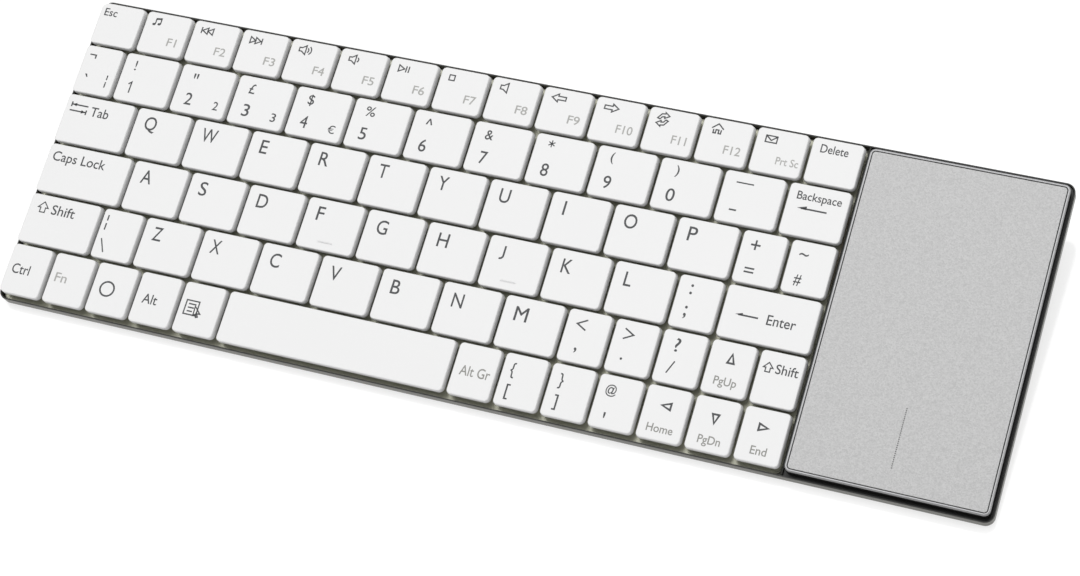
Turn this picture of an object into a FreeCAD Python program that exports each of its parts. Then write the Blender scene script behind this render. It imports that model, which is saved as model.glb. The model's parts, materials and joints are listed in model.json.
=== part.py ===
import FreeCAD, Part
import math
import os

# Slim wireless keyboard with a clicking touchpad at its right end.
# It is drawn flat, with z = 0 on the underside of the steel pan, X to the
# right and Y to the back. Every piece is then tipped to the typing angle, so
# that the four feet stand on z = 0 with the origin under the middle.

Vec = FreeCAD.Vector

# Key field, in millimetres
letter_pitch = 19.0
narrow_pitch = 14.06
corner_pitch = 14.28
function_pitch = 16.15
key_field_width = 241.75
row_pitch = 16.52
function_row_depth = 14.5
lower_rows = 5

# Case
left_margin = 0.25
front_margin = 1.09
back_margin = 0.81
pan_floor = 0.6
rim_wall = 0.4
rim_height = 3.2
case_corner = 2.8
lining_gap = 0.1

# Keycaps
key_top = 6.0
key_gap = 0.7
key_draft = 0.38
key_bevel = 0.12
key_bevel_height = 0.3
key_skirt = 2.1
key_wall = 0.9
key_roof = 1.0
key_corner = 1.6
case_corner_key = 2.4
key_travel = 2.0
homing_bar_length = 4.7
homing_bar_width = 0.5
homing_bar_height = 0.2
homing_bar_inset = 2.6

# Switch mechanism under each key
plate_thickness = 0.4
film_thickness = 0.1
film_layers = 3
post_length = 3.0
post_width = 0.6
post_press_gap = 0.2
post_slot_gap = 0.2
link_length = 9.0
link_outer_width = 9.4
link_inner_width = 7.2
link_bar = 0.9
link_thickness = 0.8
link_gap = 0.1
clip_length = 8.0
clip_depth = 0.8
clip_gap = 0.15
dome_base_radius = 2.5
dome_top_radius = 1.3
dome_wall = 0.5
contact_radius = 1.8

# Space bar stabiliser wire
wire_radius = 0.35
wire_span = 62.0
wire_leg = 6.5
wire_stub = 2.5
wire_pivot_lift = 0.45
wire_bar_drop = 0.55
wire_hook_gap = 0.1

# Touchpad module
pad_gap = 0.95
pad_width = 56.65
pad_right_margin = 1.07
pad_front_margin = 1.2
pad_back_margin = 1.55
pad_corner = 1.8
pad_wall = 0.75
pad_trim_width = 0.7
pad_trim_height = 0.6
pad_trim_bevel = 0.25
pad_groove = 0.2
pad_plate_thickness = 1.2
pad_plate_bevel = 0.12
pad_sensor_thickness = 0.8
pad_sensor_inset = 2.4
pad_sensor_corner = 1.0
pad_flange_top = 2.6
pad_ledge_depth = 1.7
pad_ledge_gap = 0.1
click_travel = 0.4
click_gap = 0.08
switch_inset = 6.5
switch_spread = 30.0
switch_size = 4.0
switch_button_radius = 1.0
switch_button_height = 0.5
divider_gap = 0.02
divider_width = 0.6
divider_top = 3.4

# Electronics under the touchpad
board_margin = 3.6
board_edge = 1.0
board_corner = 1.0
board_thickness = 0.8
radio_chip = 6.0
touch_chip = 5.0
chip_height = 0.9
connector_depth = 3.0
connector_height = 1.4
tail_width = 22.0
tail_thickness = 0.15
tail_offset = 17.0
ribbon_width = 12.0
ribbon_lift_gap = 0.12

# Battery tube under the back edge
cell_radius = 5.25
cell_length = 44.5
cell_nub_radius = 1.9
cell_nub_height = 1.5
cell_clearance = 0.35
tube_wall = 1.2
tube_roof = 1.0
tube_side_inset = 31.8
tube_back_inset = 1.2
cap_thickness = 2.5
cap_plug_length = 5.0
cap_plug_gap = 0.1
cap_groove_length = 8.0
cap_groove_width = 1.2
cap_groove_depth = 0.8
contact_thickness = 0.4
spring_length = 5.2
spring_turns = 3.5
spring_radius = 2.6
spring_wire = 0.3
bulkhead = 2.0
lead_radius = 0.5
lead_spacing = 2.4
lead_hole_radius = 2.2

# Power switch in the right end of the tube
switch_travel = 3.0
slider_length = 2.6
slider_height = 1.4
slider_stand_out = 0.6
slot_depth = 1.2
slider_gap = 0.1

# Feet and screws
front_foot_height = 1.3
back_foot_height = 0.8
foot_length = 34.0
foot_width = 5.0
foot_front_inset = 6.5
foot_side_inset = 12.8
foot_corner = 2.0
back_foot_inset = 3.0
screw_radius = 0.8
screw_head_radius = 1.5
screw_head_height = 0.5
screw_length = 2.6
screw_gap = 0.03
screw_hole_gap = 0.1
screw_slot_width = 0.4
screw_slot_depth = 0.25
boss_radius = 1.7
boss_wall_bite = 0.4
boss_height = 2.6
screw_tube_gap = 1.0

# Places that follow from the sizes above
case_length = left_margin + key_field_width + pad_gap + pad_width + pad_right_margin
case_depth = front_margin + lower_rows * row_pitch + function_row_depth + back_margin
case_left = -case_length / 2
case_right = case_length / 2
case_front = -case_depth / 2
case_back = case_depth / 2
field_left = case_left + left_margin
field_right = field_left + key_field_width
field_front = case_front + front_margin

plate_top = pan_floor + plate_thickness
film_top = plate_top + film_layers * film_thickness
key_bottom = key_top - key_skirt
roof_under = key_top - key_roof
post_top = roof_under - clip_depth - key_travel - post_press_gap

pad_left = field_right + pad_gap
pad_right = pad_left + pad_width
pad_front = case_front + pad_front_margin
pad_back = case_back - pad_back_margin
pad_middle = (pad_left + pad_right) / 2
pad_plate_inset = pad_trim_width + pad_groove
pad_plate_under = key_top - pad_plate_thickness
pad_sensor_under = pad_plate_under - pad_sensor_thickness
hinge_y = pad_back - pad_plate_inset - pad_ledge_depth / 2
hinge_z = pad_plate_under
click_angle = math.degrees(click_travel / (hinge_y - pad_front - pad_plate_inset))

board_under = pan_floor + film_thickness
board_top = board_under + board_thickness
board_left = pad_left + pad_wall + board_margin
board_right = pad_right - pad_wall - board_margin

bore_radius = cell_radius + cell_clearance
tube_radius = bore_radius + tube_wall
tube_y = case_back - tube_back_inset - tube_radius
tube_z = -tube_roof - bore_radius
tube_left = case_left + tube_side_inset
tube_right = case_right - tube_side_inset
bore_length = cap_plug_length + 2 * cell_length + spring_length + 2 * contact_thickness
bore_end = tube_left + bore_length
lead_x = board_left + 2 * lead_hole_radius

foot_y = case_front + foot_front_inset
foot_drop = front_foot_height
tube_drop = tube_radius - tube_z + back_foot_height
typing_tilt = math.degrees(math.atan2(tube_drop - foot_drop, tube_y - foot_y))

wire_pivot_z = film_top + wire_pivot_lift
wire_rise = roof_under - wire_bar_drop - wire_pivot_z
wire_angle = math.asin(wire_rise / wire_leg)


def box(x0, x1, y0, y1, z0, z1):
    """A block between two corners."""
    return Part.makeBox(x1 - x0, y1 - y0, z1 - z0, Vec(x0, y0, z0))


def corner_arc(cx, cy, z, radius, start):
    """A quarter circle about a corner's centre, from start degrees anticlockwise."""
    points = []
    for turn in (0, 45, 90):
        angle = math.radians(start + turn)
        points.append(Vec(cx + radius * math.cos(angle), cy + radius * math.sin(angle), z))
    return Part.Arc(*points).toShape()


def outline(x0, x1, y0, y1, z, radii):
    """A rounded rectangle. Radii run front left, front right, back right, back left."""
    fl, fr, br, bl = radii
    edges = [
        Part.LineSegment(Vec(x0 + fl, y0, z), Vec(x1 - fr, y0, z)).toShape(),
        corner_arc(x1 - fr, y0 + fr, z, fr, 270),
        Part.LineSegment(Vec(x1, y0 + fr, z), Vec(x1, y1 - br, z)).toShape(),
        corner_arc(x1 - br, y1 - br, z, br, 0),
        Part.LineSegment(Vec(x1 - br, y1, z), Vec(x0 + bl, y1, z)).toShape(),
        corner_arc(x0 + bl, y1 - bl, z, bl, 90),
        Part.LineSegment(Vec(x0, y1 - bl, z), Vec(x0, y0 + fl, z)).toShape(),
        corner_arc(x0 + fl, y0 + fl, z, fl, 180),
    ]
    return Part.Wire(edges)


def slab(x0, x1, y0, y1, z0, z1, radius):
    """A flat slab with four equal round corners."""
    wire = outline(x0, x1, y0, y1, z0, [radius] * 4)
    return Part.Face(wire).extrude(Vec(0, 0, z1 - z0))


def loft(wires):
    """A solid with straight walls through a stack of outlines."""
    return Part.makeLoft(wires, True, True)


def rod_x(x0, x1, y, z, radius):
    """A round bar along X."""
    return Part.makeCylinder(radius, x1 - x0, Vec(x0, y, z), Vec(1, 0, 0))


def key_plan():
    """Every key as its node, its cell and its radii at the case's corners."""
    letters = lambda text: [("key_" + letter, letter_pitch) for letter in text]
    symbols = lambda count: [("symbol_keys", narrow_pitch)] * count
    arrows = lambda count: [("arrow_keys", narrow_pitch)] * count
    rows = [
        [("modifier_keys", corner_pitch)] * 5
        + [("space_bar", None), ("modifier_keys", narrow_pitch)]
        + symbols(3)
        + arrows(3),
        [("left_shift_key", None)]
        + symbols(1)
        + letters("zxcvbnm")
        + symbols(3)
        + arrows(1)
        + [("right_shift_key", narrow_pitch)],
        [("caps_lock_key", None)]
        + letters("asdfghjkl")
        + symbols(1)
        + [("enter_key", 2 * narrow_pitch)],
        [("tab_key", None)] + letters("qwertyuiop") + symbols(2),
        [("number_keys", None)]
        + [("number_keys", letter_pitch)] * 11
        + [("backspace_key", letter_pitch)],
        [("function_keys", None)] + [("function_keys", function_pitch)] * 14,
    ]
    cells = []
    y0 = field_front
    for number, row in enumerate(rows):
        depth = row_pitch if number < lower_rows else function_row_depth
        spare = key_field_width - sum(width for _, width in row if width)
        x0 = field_left
        for place, (node, width) in enumerate(row):
            x1 = x0 + (width or spare)
            radii = [key_corner] * 4
            if place == 0 and number == 0:
                radii[0] = case_corner_key
            if place == 0 and number == lower_rows:
                radii[3] = case_corner_key
            cells.append((node, x0, x1, y0, y0 + depth, radii))
            x0 = x1
        y0 += depth
    return cells


def keycap(node, x0, x1, y0, y1, radii):
    """A hollow cap with drafted walls, a bevelled top and two link clips."""
    half_gap = key_gap / 2
    shoulder = half_gap + key_draft
    crown = shoulder + key_bevel
    levels = [
        (half_gap, key_bottom),
        (shoulder, key_top - key_bevel_height),
        (crown, key_top),
    ]
    wires = []
    for inset, z in levels:
        trimmed = [radius - (inset - half_gap) for radius in radii]
        wires.append(outline(x0 + inset, x1 - inset, y0 + inset, y1 - inset, z, trimmed))
    cap = loft(wires)
    inner = half_gap + key_wall
    hollow_radii = [max(radius - key_wall, key_wall / 2) for radius in radii]
    floor = outline(
        x0 + inner, x1 - inner, y0 + inner, y1 - inner, key_bottom, hollow_radii
    )
    cap = cap.cut(Part.Face(floor).extrude(Vec(0, 0, roof_under - key_bottom)))
    xm = (x0 + x1) / 2
    ym = (y0 + y1) / 2
    for side in (-1, 1):
        near = ym + side * (link_outer_width / 2 + clip_gap)
        far = near + side * post_width
        cap = cap.fuse(
            box(
                xm - clip_length / 2,
                xm + clip_length / 2,
                min(near, far),
                max(near, far),
                roof_under - clip_depth,
                roof_under,
            )
        )
    if node in ("key_f", "key_j"):
        bar_y = y0 + homing_bar_inset
        cap = cap.fuse(
            box(
                xm - homing_bar_length / 2,
                xm + homing_bar_length / 2,
                bar_y,
                bar_y + homing_bar_width,
                key_top,
                key_top + homing_bar_height,
            )
        )
    return cap.removeSplitter()


def key_nodes(cells):
    """The caps, gathered under the names of their nodes."""
    nodes = {}
    for node, x0, x1, y0, y1, radii in cells:
        nodes.setdefault(node, []).append(keycap(node, x0, x1, y0, y1, radii))
    return nodes


def cell_middles(cells):
    """The middle of each key's cell."""
    return [((x0 + x1) / 2, (y0 + y1) / 2) for _, x0, x1, y0, y1, _ in cells]


def post_blocks(middles, gap, z0, z1):
    """Two hook posts per key, or with a gap the slots that they pass through."""
    blocks = []
    for xm, ym in middles:
        for side in (-1, 1):
            near = ym + side * (link_outer_width / 2 + clip_gap)
            far = near + side * post_width
            blocks.append(
                box(
                    xm - post_length / 2 - gap,
                    xm + post_length / 2 + gap,
                    min(near, far) - gap,
                    max(near, far) + gap,
                    z0,
                    z1,
                )
            )
    return blocks


def wire_hooks(space):
    """The places of the two plate hooks that trap the stabiliser wire's ends."""
    xm = (space[1] + space[2]) / 2
    pivot_y = wire_pivot_y(space)
    reach = wire_radius + wire_hook_gap
    hooks = []
    for side in (-1, 1):
        x = xm + side * (wire_span / 2 - wire_stub)
        for y in (pivot_y - reach - post_width, pivot_y + reach):
            hooks.append((x - post_width, x + post_width, y, y + post_width))
    return hooks


def support_plate(middles, space):
    """Steel plate with a hook post either side of every key."""
    plate = slab(
        case_left + rim_wall + 3 * lining_gap,
        field_right - 3 * lining_gap,
        case_front + rim_wall + 3 * lining_gap,
        case_back - rim_wall - 3 * lining_gap,
        pan_floor,
        plate_top,
        case_corner - rim_wall,
    )
    posts = post_blocks(middles, 0, pan_floor, post_top)
    for x0, x1, y0, y1 in wire_hooks(space):
        posts.append(box(x0, x1, y0, y1, pan_floor, wire_pivot_z + wire_radius))
    return plate.fuse(posts).removeSplitter()


def membrane_layers(middles, space):
    """Two printed films and the spacer between them, with a hole at each contact."""
    layers = []
    for layer in range(film_layers):
        z0 = plate_top + layer * film_thickness
        z1 = z0 + film_thickness
        film = slab(
            case_left + rim_wall + 5 * lining_gap,
            field_right - 5 * lining_gap,
            case_front + rim_wall + 5 * lining_gap,
            case_back - rim_wall - 5 * lining_gap,
            z0,
            z1,
            case_corner - rim_wall,
        )
        cuts = post_blocks(middles, post_slot_gap, z0, z1)
        for x0, x1, y0, y1 in wire_hooks(space):
            grow = post_slot_gap
            cuts.append(box(x0 - grow, x1 + grow, y0 - grow, y1 + grow, z0, z1))
        if layer == 1:
            for xm, ym in middles:
                cuts.append(Part.makeCylinder(contact_radius, film_thickness, Vec(xm, ym, z0)))
        layers.append(film.cut(cuts))
    return layers


def rubber_domes(middles):
    """A hollow rubber dome under the middle of every key."""
    height = roof_under - link_gap - film_top
    hollow = height - 2 * dome_wall
    domes = []
    for xm, ym in middles:
        skin = Part.makeCone(dome_base_radius, dome_top_radius, height, Vec(xm, ym, film_top))
        room = Part.makeCone(
            dome_base_radius - dome_wall,
            dome_top_radius - dome_wall,
            hollow,
            Vec(xm, ym, film_top),
        )
        domes.append(skin.cut(room))
    return domes


def link_slope():
    """The angle at which a crossed link just fits between film and cap."""
    room = roof_under - film_top - 2 * link_gap
    size = math.hypot(link_length, link_thickness)
    lean = math.atan2(link_thickness, link_length)
    return math.degrees(math.asin(room / size) - lean)


def scissor_links(middles):
    """Two crossed frames under every key, the narrow one inside the wide one."""
    slope = link_slope()
    level = (film_top + roof_under) / 2
    links = []
    for xm, ym in middles:
        for width, turn in ((link_outer_width, slope), (link_inner_width, -slope)):
            half = width / 2
            end = link_length / 2
            z0 = level - link_thickness / 2
            z1 = level + link_thickness / 2
            frame = box(xm - end, xm + end, ym - half, ym + half, z0, z1)
            window = box(
                xm - end + link_bar,
                xm + end - link_bar,
                ym - half + link_bar,
                ym + half - link_bar,
                z0,
                z1,
            )
            frame = frame.cut(window)
            frame.rotate(Vec(xm, ym, level), Vec(0, 1, 0), turn)
            links.append(frame)
    return links


def wire_pivot_y(space):
    """The line on which the wire turns, so that its bar stays clear of the clips."""
    ym = (space[3] + space[4]) / 2
    clip_front = ym - link_outer_width / 2 - clip_gap - post_width
    bar_y = clip_front - clip_gap - wire_radius
    return bar_y + wire_leg * math.cos(wire_angle)


def space_bar_wire(space):
    """Bent steel wire that keeps the long cap level."""
    xm = (space[1] + space[2]) / 2
    pivot_y = wire_pivot_y(space)
    bar_y = pivot_y - wire_leg * math.cos(wire_angle)
    bar_z = wire_pivot_z + wire_rise
    half = wire_span / 2
    wire = rod_x(xm - half, xm + half, bar_y, bar_z, wire_radius)
    for side in (-1, 1):
        corner = Vec(xm + side * half, bar_y, bar_z)
        pivot = Vec(xm + side * half, pivot_y, wire_pivot_z)
        leg = Part.makeCylinder(wire_radius, wire_leg, corner, pivot - corner)
        stub_end = xm + side * (half - wire_stub)
        x0 = min(stub_end, pivot.x)
        x1 = max(stub_end, pivot.x)
        stub = rod_x(x0, x1, pivot_y, wire_pivot_z, wire_radius)
        elbows = [Part.makeSphere(wire_radius, corner), Part.makeSphere(wire_radius, pivot)]
        wire = wire.fuse([leg, stub] + elbows)
    return wire.removeSplitter()


def base_pan(screw_places):
    """Pressed steel tray with a low upright rim and holes for screws and leads."""
    tray = slab(case_left, case_right, case_front, case_back, 0, rim_height, case_corner)
    inside = slab(
        case_left + rim_wall,
        case_right - rim_wall,
        case_front + rim_wall,
        case_back - rim_wall,
        pan_floor,
        rim_height,
        case_corner - rim_wall,
    )
    tray = tray.cut(inside)
    holes = []
    for x, y in screw_places:
        radius = screw_radius + screw_hole_gap
        holes.append(Part.makeCylinder(radius, pan_floor, Vec(x, y, 0)))
    holes.append(Part.makeCylinder(lead_hole_radius, pan_floor, Vec(lead_x, tube_y, 0)))
    return tray.cut(holes)


def pad_outline(inset, z):
    """The touchpad module's outline, drawn in by an inset."""
    return outline(
        pad_left + inset,
        pad_right - inset,
        pad_front + inset,
        pad_back - inset,
        z,
        [pad_corner - inset] * 4,
    )


def pad_slab(inset, z0, z1):
    """A slab of the touchpad's outline."""
    return Part.Face(pad_outline(inset, z0)).extrude(Vec(0, 0, z1 - z0))


def screw_positions():
    """Four screws, one in each corner of the touchpad module."""
    reach = pad_wall + boss_radius - boss_wall_bite
    back = tube_y - tube_radius - screw_tube_gap - screw_head_radius
    return [
        (x, y)
        for x in (pad_left + reach, pad_right - reach)
        for y in (pad_front + reach, back)
    ]


def chassis_frame(screw_places):
    """Black moulding round the touchpad: flange, walls, hinge ledge and bosses."""
    flange = slab(
        case_left + rim_wall + lining_gap,
        case_right - rim_wall - lining_gap,
        case_front + rim_wall + lining_gap,
        case_back - rim_wall - lining_gap,
        pan_floor,
        pad_flange_top,
        case_corner - rim_wall,
    )
    left = field_right + divider_gap + divider_width
    flange = flange.common(
        box(left, case_right, case_front, case_back, pan_floor, pad_flange_top)
    )
    walls = pad_slab(0, pan_floor, key_top - pad_trim_height)
    frame = flange.fuse(walls)
    frame = frame.cut(pad_slab(pad_wall, pan_floor, key_top))
    ledge = pad_slab(pad_wall, pan_floor, pad_plate_under - pad_ledge_gap)
    back = pad_back - pad_plate_inset - pad_ledge_depth
    frame = frame.fuse(ledge.common(box(pad_left, pad_right, back, pad_back, 0, key_top)))
    frame = frame.cut(
        box(
            left,
            pad_left + pad_wall + boss_radius,
            tail_offset - tail_width / 2 - tail_thickness,
            tail_offset + tail_width / 2 + tail_thickness,
            pan_floor,
            film_top + 2 * tail_thickness,
        )
    )
    for x, y in screw_places:
        post = Part.makeCylinder(boss_radius, boss_height, Vec(x, y, pan_floor))
        bore = Part.makeCylinder(screw_radius + screw_gap, boss_height, Vec(x, y, 0))
        frame = frame.fuse(post).cut(bore)
    return frame.removeSplitter()


def bay_divider():
    """Bright strip that closes the key bay beside the touchpad."""
    x0 = field_right + divider_gap
    strip = slab(
        x0,
        x0 + divider_width,
        case_front + rim_wall + lining_gap,
        case_back - rim_wall - lining_gap,
        pan_floor,
        divider_top,
        divider_width / 3,
    )
    mouth = box(
        x0,
        x0 + divider_width,
        tail_offset - tail_width / 2 - tail_thickness,
        tail_offset + tail_width / 2 + tail_thickness,
        pan_floor,
        film_top + 2 * tail_thickness,
    )
    return strip.cut(mouth)


def touchpad_bezel():
    """Silver ring on top of the black walls, bevelled on its outer edge."""
    foot = key_top - pad_trim_height
    body = loft(
        [
            pad_outline(0, foot),
            pad_outline(0, key_top - pad_trim_bevel),
            pad_outline(pad_trim_bevel, key_top),
        ]
    )
    return body.cut(pad_slab(pad_trim_width, foot, key_top))


def touchpad_plate():
    """The plate that the finger strokes, free of the ring all round."""
    return loft(
        [
            pad_outline(pad_plate_inset, pad_plate_under),
            pad_outline(pad_plate_inset, key_top - pad_plate_bevel),
            pad_outline(pad_plate_inset + pad_plate_bevel, key_top),
        ]
    )


def touchpad_sensor_board():
    """Sensor board bonded under the plate, short of the hinge ledge."""
    inset = pad_plate_inset + pad_sensor_inset
    return slab(
        pad_left + inset,
        pad_right - inset,
        pad_front + inset,
        hinge_y - pad_ledge_depth / 2 - pad_sensor_corner / 2,
        pad_sensor_under,
        pad_plate_under,
        pad_sensor_corner,
    )


def click_switches():
    """Two push switches under the front corners of the touchpad."""
    switches = []
    y = pad_front + switch_inset + switch_size / 2
    drop = math.radians(click_angle) * (hinge_y - y + switch_size / 2)
    button_top = pad_sensor_under - drop - click_gap
    for side in (-1, 1):
        x = pad_middle + side * switch_spread / 2
        body = box(
            x - switch_size / 2,
            x + switch_size / 2,
            y - switch_size / 2,
            y + switch_size / 2,
            board_top,
            button_top - switch_button_height,
        )
        button = Part.makeCylinder(
            switch_button_radius,
            switch_button_height,
            Vec(x, y, button_top - switch_button_height),
        )
        switches.append(body.fuse(button))
    return switches


def main_board():
    """Circuit board on its insulating film, with its chips and connectors."""
    x0 = board_left
    x1 = board_right
    y0 = pad_front + pad_wall + board_margin / 2
    y1 = tube_y + lead_hole_radius + board_edge
    film = slab(x0, x1, y0, y1, pan_floor, board_under, board_corner)
    board = slab(x0, x1, y0, y1, board_under, board_top, board_corner)
    lead_hole = Part.makeCylinder(lead_hole_radius, key_top, Vec(lead_x, tube_y, 0))
    pieces = [film.cut(lead_hole), board.cut(lead_hole)]
    for size, x, y in (
        (radio_chip, pad_middle + radio_chip, y0 + 5 * radio_chip),
        (touch_chip, pad_middle - touch_chip, y0 + 8 * touch_chip),
    ):
        pieces.append(
            slab(
                x - size / 2,
                x + size / 2,
                y - size / 2,
                y + size / 2,
                board_top,
                board_top + chip_height,
                size / 20,
            )
        )
    pieces.append(
        box(
            x0 + connector_depth / 2,
            x0 + 3 * connector_depth / 2,
            tail_offset - tail_width / 2,
            tail_offset + tail_width / 2,
            board_top,
            board_top + connector_height,
        )
    )
    pieces.append(
        box(
            pad_middle - ribbon_width / 2,
            pad_middle + ribbon_width / 2,
            tail_offset - connector_depth,
            tail_offset,
            board_top,
            board_top + connector_height,
        )
    )
    return pieces


def ribbon_run(points, thickness):
    """A flat ribbon's section through corner points, thickened along their normals."""
    upper = []
    lower = []
    for index, (u, z) in enumerate(points):
        before = points[max(index - 1, 0)]
        after = points[min(index + 1, len(points) - 1)]
        run = math.hypot(after[0] - before[0], after[1] - before[1])
        nu = -(after[1] - before[1]) / run
        nz = (after[0] - before[0]) / run
        upper.append((u + nu * thickness / 2, z + nz * thickness / 2))
        lower.append((u - nu * thickness / 2, z - nz * thickness / 2))
    return upper + lower[::-1]


def keyboard_tail():
    """Film tail that carries the key contacts to the circuit board."""
    x_end = board_left + connector_depth / 2
    z0 = film_top + tail_thickness / 2
    z1 = board_top + tail_thickness / 2
    points = [
        (field_right - 10 * lining_gap, z0),
        (pad_left + pad_wall, z0),
        (pad_left + pad_wall + board_margin / 2, z1),
        (x_end, z1),
    ]
    section = ribbon_run(points, tail_thickness)
    y = tail_offset - tail_width / 2
    corners = [Vec(u, y, z) for u, z in section]
    face = Part.Face(Part.makePolygon(corners + corners[:1]))
    return face.extrude(Vec(0, tail_width, 0))


def touchpad_ribbon():
    """Ribbon from the circuit board up to the sensor board, near the hinge."""
    top = pad_sensor_under - ribbon_lift_gap - tail_thickness / 2
    low = board_top + tail_thickness / 2
    points = [
        (tail_offset, low),
        (tail_offset + 2 * connector_depth, low),
        (tail_offset + 3 * connector_depth, (low + top) / 2),
        (tail_offset + 4 * connector_depth, top),
        (tail_offset + 6 * connector_depth, top),
    ]
    section = ribbon_run(points, tail_thickness)
    x = pad_middle - ribbon_width / 2
    corners = [Vec(x, u, z) for u, z in section]
    face = Part.Face(Part.makePolygon(corners + corners[:1]))
    return face.extrude(Vec(ribbon_width, 0, 0))


def battery_leads():
    """Two leads along the tube, turned up through the pan to the board."""
    leads = []
    for side in (-1, 1):
        y = tube_y + side * lead_spacing / 2
        bend = 2 * lead_radius
        run = lead_x - bend
        level = tube_z
        flat = rod_x(bore_end + bulkhead, run, y, level, lead_radius)
        rise = Part.makeCylinder(
            lead_radius, board_top - level - bend, Vec(lead_x, y, level + bend)
        )
        elbow = Part.makeTorus(
            bend, lead_radius, Vec(run, y, level + bend), Vec(0, -1, 0), -180, 180, 90
        )
        elbow = elbow.common(box(run, lead_x + bend, y - bend, y + bend, level - bend, level + bend))
        leads.append(flat.fuse([rise, elbow]))
    return leads


def tube_profile(x):
    """The tube's section: a half circle below, upright sides, flat under the pan."""
    radius = tube_radius
    start = Vec(x, tube_y - radius, tube_z)
    middle = Vec(x, tube_y, tube_z - radius)
    end = Vec(x, tube_y + radius, tube_z)
    edges = [
        Part.Arc(start, middle, end).toShape(),
        Part.LineSegment(end, Vec(x, tube_y + radius, 0)).toShape(),
        Part.LineSegment(Vec(x, tube_y + radius, 0), Vec(x, tube_y - radius, 0)).toShape(),
        Part.LineSegment(Vec(x, tube_y - radius, 0), start).toShape(),
    ]
    return Part.Wire(edges)


def tube_block(x0, x1):
    """A length of the tube's outer shape."""
    return Part.Face(tube_profile(x0)).extrude(Vec(x1 - x0, 0, 0))


def battery_tube():
    """Tube bored from the left for the cells and from the right for the switch."""
    body = tube_block(tube_left, tube_right)
    cells = rod_x(tube_left, bore_end, tube_y, tube_z, bore_radius)
    room = rod_x(bore_end + bulkhead, tube_right, tube_y, tube_z, bore_radius)
    hole = Part.makeCylinder(lead_hole_radius, -tube_z, Vec(lead_x, tube_y, tube_z))
    passage = rod_x(bore_end, bore_end + bulkhead, tube_y, tube_z, lead_spacing)
    return body.cut([cells, room, hole, passage])


def battery_cap():
    """Pull-off end cap with a plug in the bore and a coin groove in its face."""
    disc = tube_block(tube_left - cap_thickness, tube_left)
    plug = rod_x(tube_left, tube_left + cap_plug_length, tube_y, tube_z, bore_radius - cap_plug_gap)
    groove = box(
        tube_left - cap_thickness,
        tube_left - cap_thickness + cap_groove_depth,
        tube_y - cap_groove_length / 2,
        tube_y + cap_groove_length / 2,
        tube_z - cap_groove_width / 2,
        tube_z + cap_groove_width / 2,
    )
    return disc.fuse(plug).cut(groove)


def battery_cells():
    """Two cells in line, button ends towards the cap."""
    cells = []
    x0 = tube_left + cap_plug_length + contact_thickness
    for count in range(2):
        start = x0 + count * cell_length
        nub = rod_x(start, start + cell_nub_height, tube_y, tube_z, cell_nub_radius)
        can = rod_x(start + cell_nub_height, start + cell_length, tube_y, tube_z, cell_radius)
        cells.append(nub.fuse(can))
    return cells


def battery_contacts():
    """Plate in front of the cells, and plate and coil spring behind them."""
    first = tube_left + cap_plug_length
    front = rod_x(
        first + cap_plug_gap, first + contact_thickness, tube_y, tube_z, cell_radius
    )
    last = bore_end - contact_thickness
    back = rod_x(last, bore_end, tube_y, tube_z, cell_radius)
    rise = spring_length - 2 * spring_wire
    helix = Part.makeHelix(rise / spring_turns, rise, spring_radius)
    ring = Part.Circle(Vec(spring_radius, 0, 0), Vec(0, 1, 0), spring_wire).toShape()
    coil = Part.Wire(helix.Edges).makePipeShell([Part.Wire(ring)], True, True)
    coil.rotate(Vec(0, 0, 0), Vec(0, 1, 0), 90)
    coil.translate(Vec(last - spring_length + spring_wire, tube_y, tube_z))
    return [front, back, coil]


def tube_end_plug():
    """Fixed plug in the right end, with the power switch's slot in its face."""
    disc = tube_block(tube_right, tube_right + cap_thickness)
    plug = rod_x(
        tube_right - cap_plug_length, tube_right, tube_y, tube_z, bore_radius - lining_gap
    )
    slot = box(
        tube_right + cap_thickness - slot_depth,
        tube_right + cap_thickness,
        tube_y - (slider_length + switch_travel) / 2 - slider_gap,
        tube_y + (slider_length + switch_travel) / 2 + slider_gap,
        tube_z - slider_height / 2 - slider_gap,
        tube_z + slider_height / 2 + slider_gap,
    )
    return disc.fuse(plug).cut(slot)


def power_switch_slider():
    """Slider at the front end of its slot, with three grip ridges."""
    x0 = tube_right + cap_thickness - slot_depth + slider_gap
    x1 = tube_right + cap_thickness + slider_stand_out
    y0 = tube_y - (slider_length + switch_travel) / 2
    block = box(
        x0,
        x1,
        y0,
        y0 + slider_length,
        tube_z - slider_height / 2,
        tube_z + slider_height / 2,
    )
    pitch = slider_length / 4
    notches = []
    for count in (1, 2, 3):
        y = y0 + count * pitch
        notches.append(
            box(
                x1 - slider_gap * 2,
                x1,
                y - slider_gap,
                y + slider_gap,
                tube_z - slider_height / 2,
                tube_z + slider_height / 2,
            )
        )
    return block.cut(notches)


def rubber_feet():
    """Two strips under the front edge and two saddles under the tube, left long."""
    feet = []
    spare = foot_width
    for side in (-1, 1):
        middle = side * (case_length / 2 - foot_side_inset - foot_length / 2)
        x0 = middle - foot_length / 2
        x1 = middle + foot_length / 2
        y0 = foot_y - foot_width / 2
        y1 = foot_y + foot_width / 2
        feet.append(slab(x0, x1, y0, y1, -front_foot_height - spare, 0, foot_corner))
        end = side * (tube_right - back_foot_inset)
        x0 = min(end, end - side * foot_length)
        y0 = tube_y - foot_width / 2
        y1 = tube_y + foot_width / 2
        saddle = slab(
            x0, x0 + foot_length, y0, y1, -tube_drop - spare, tube_z, foot_corner
        )
        feet.append(saddle.cut(tube_block(x0, x0 + foot_length)))
    return feet


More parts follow.
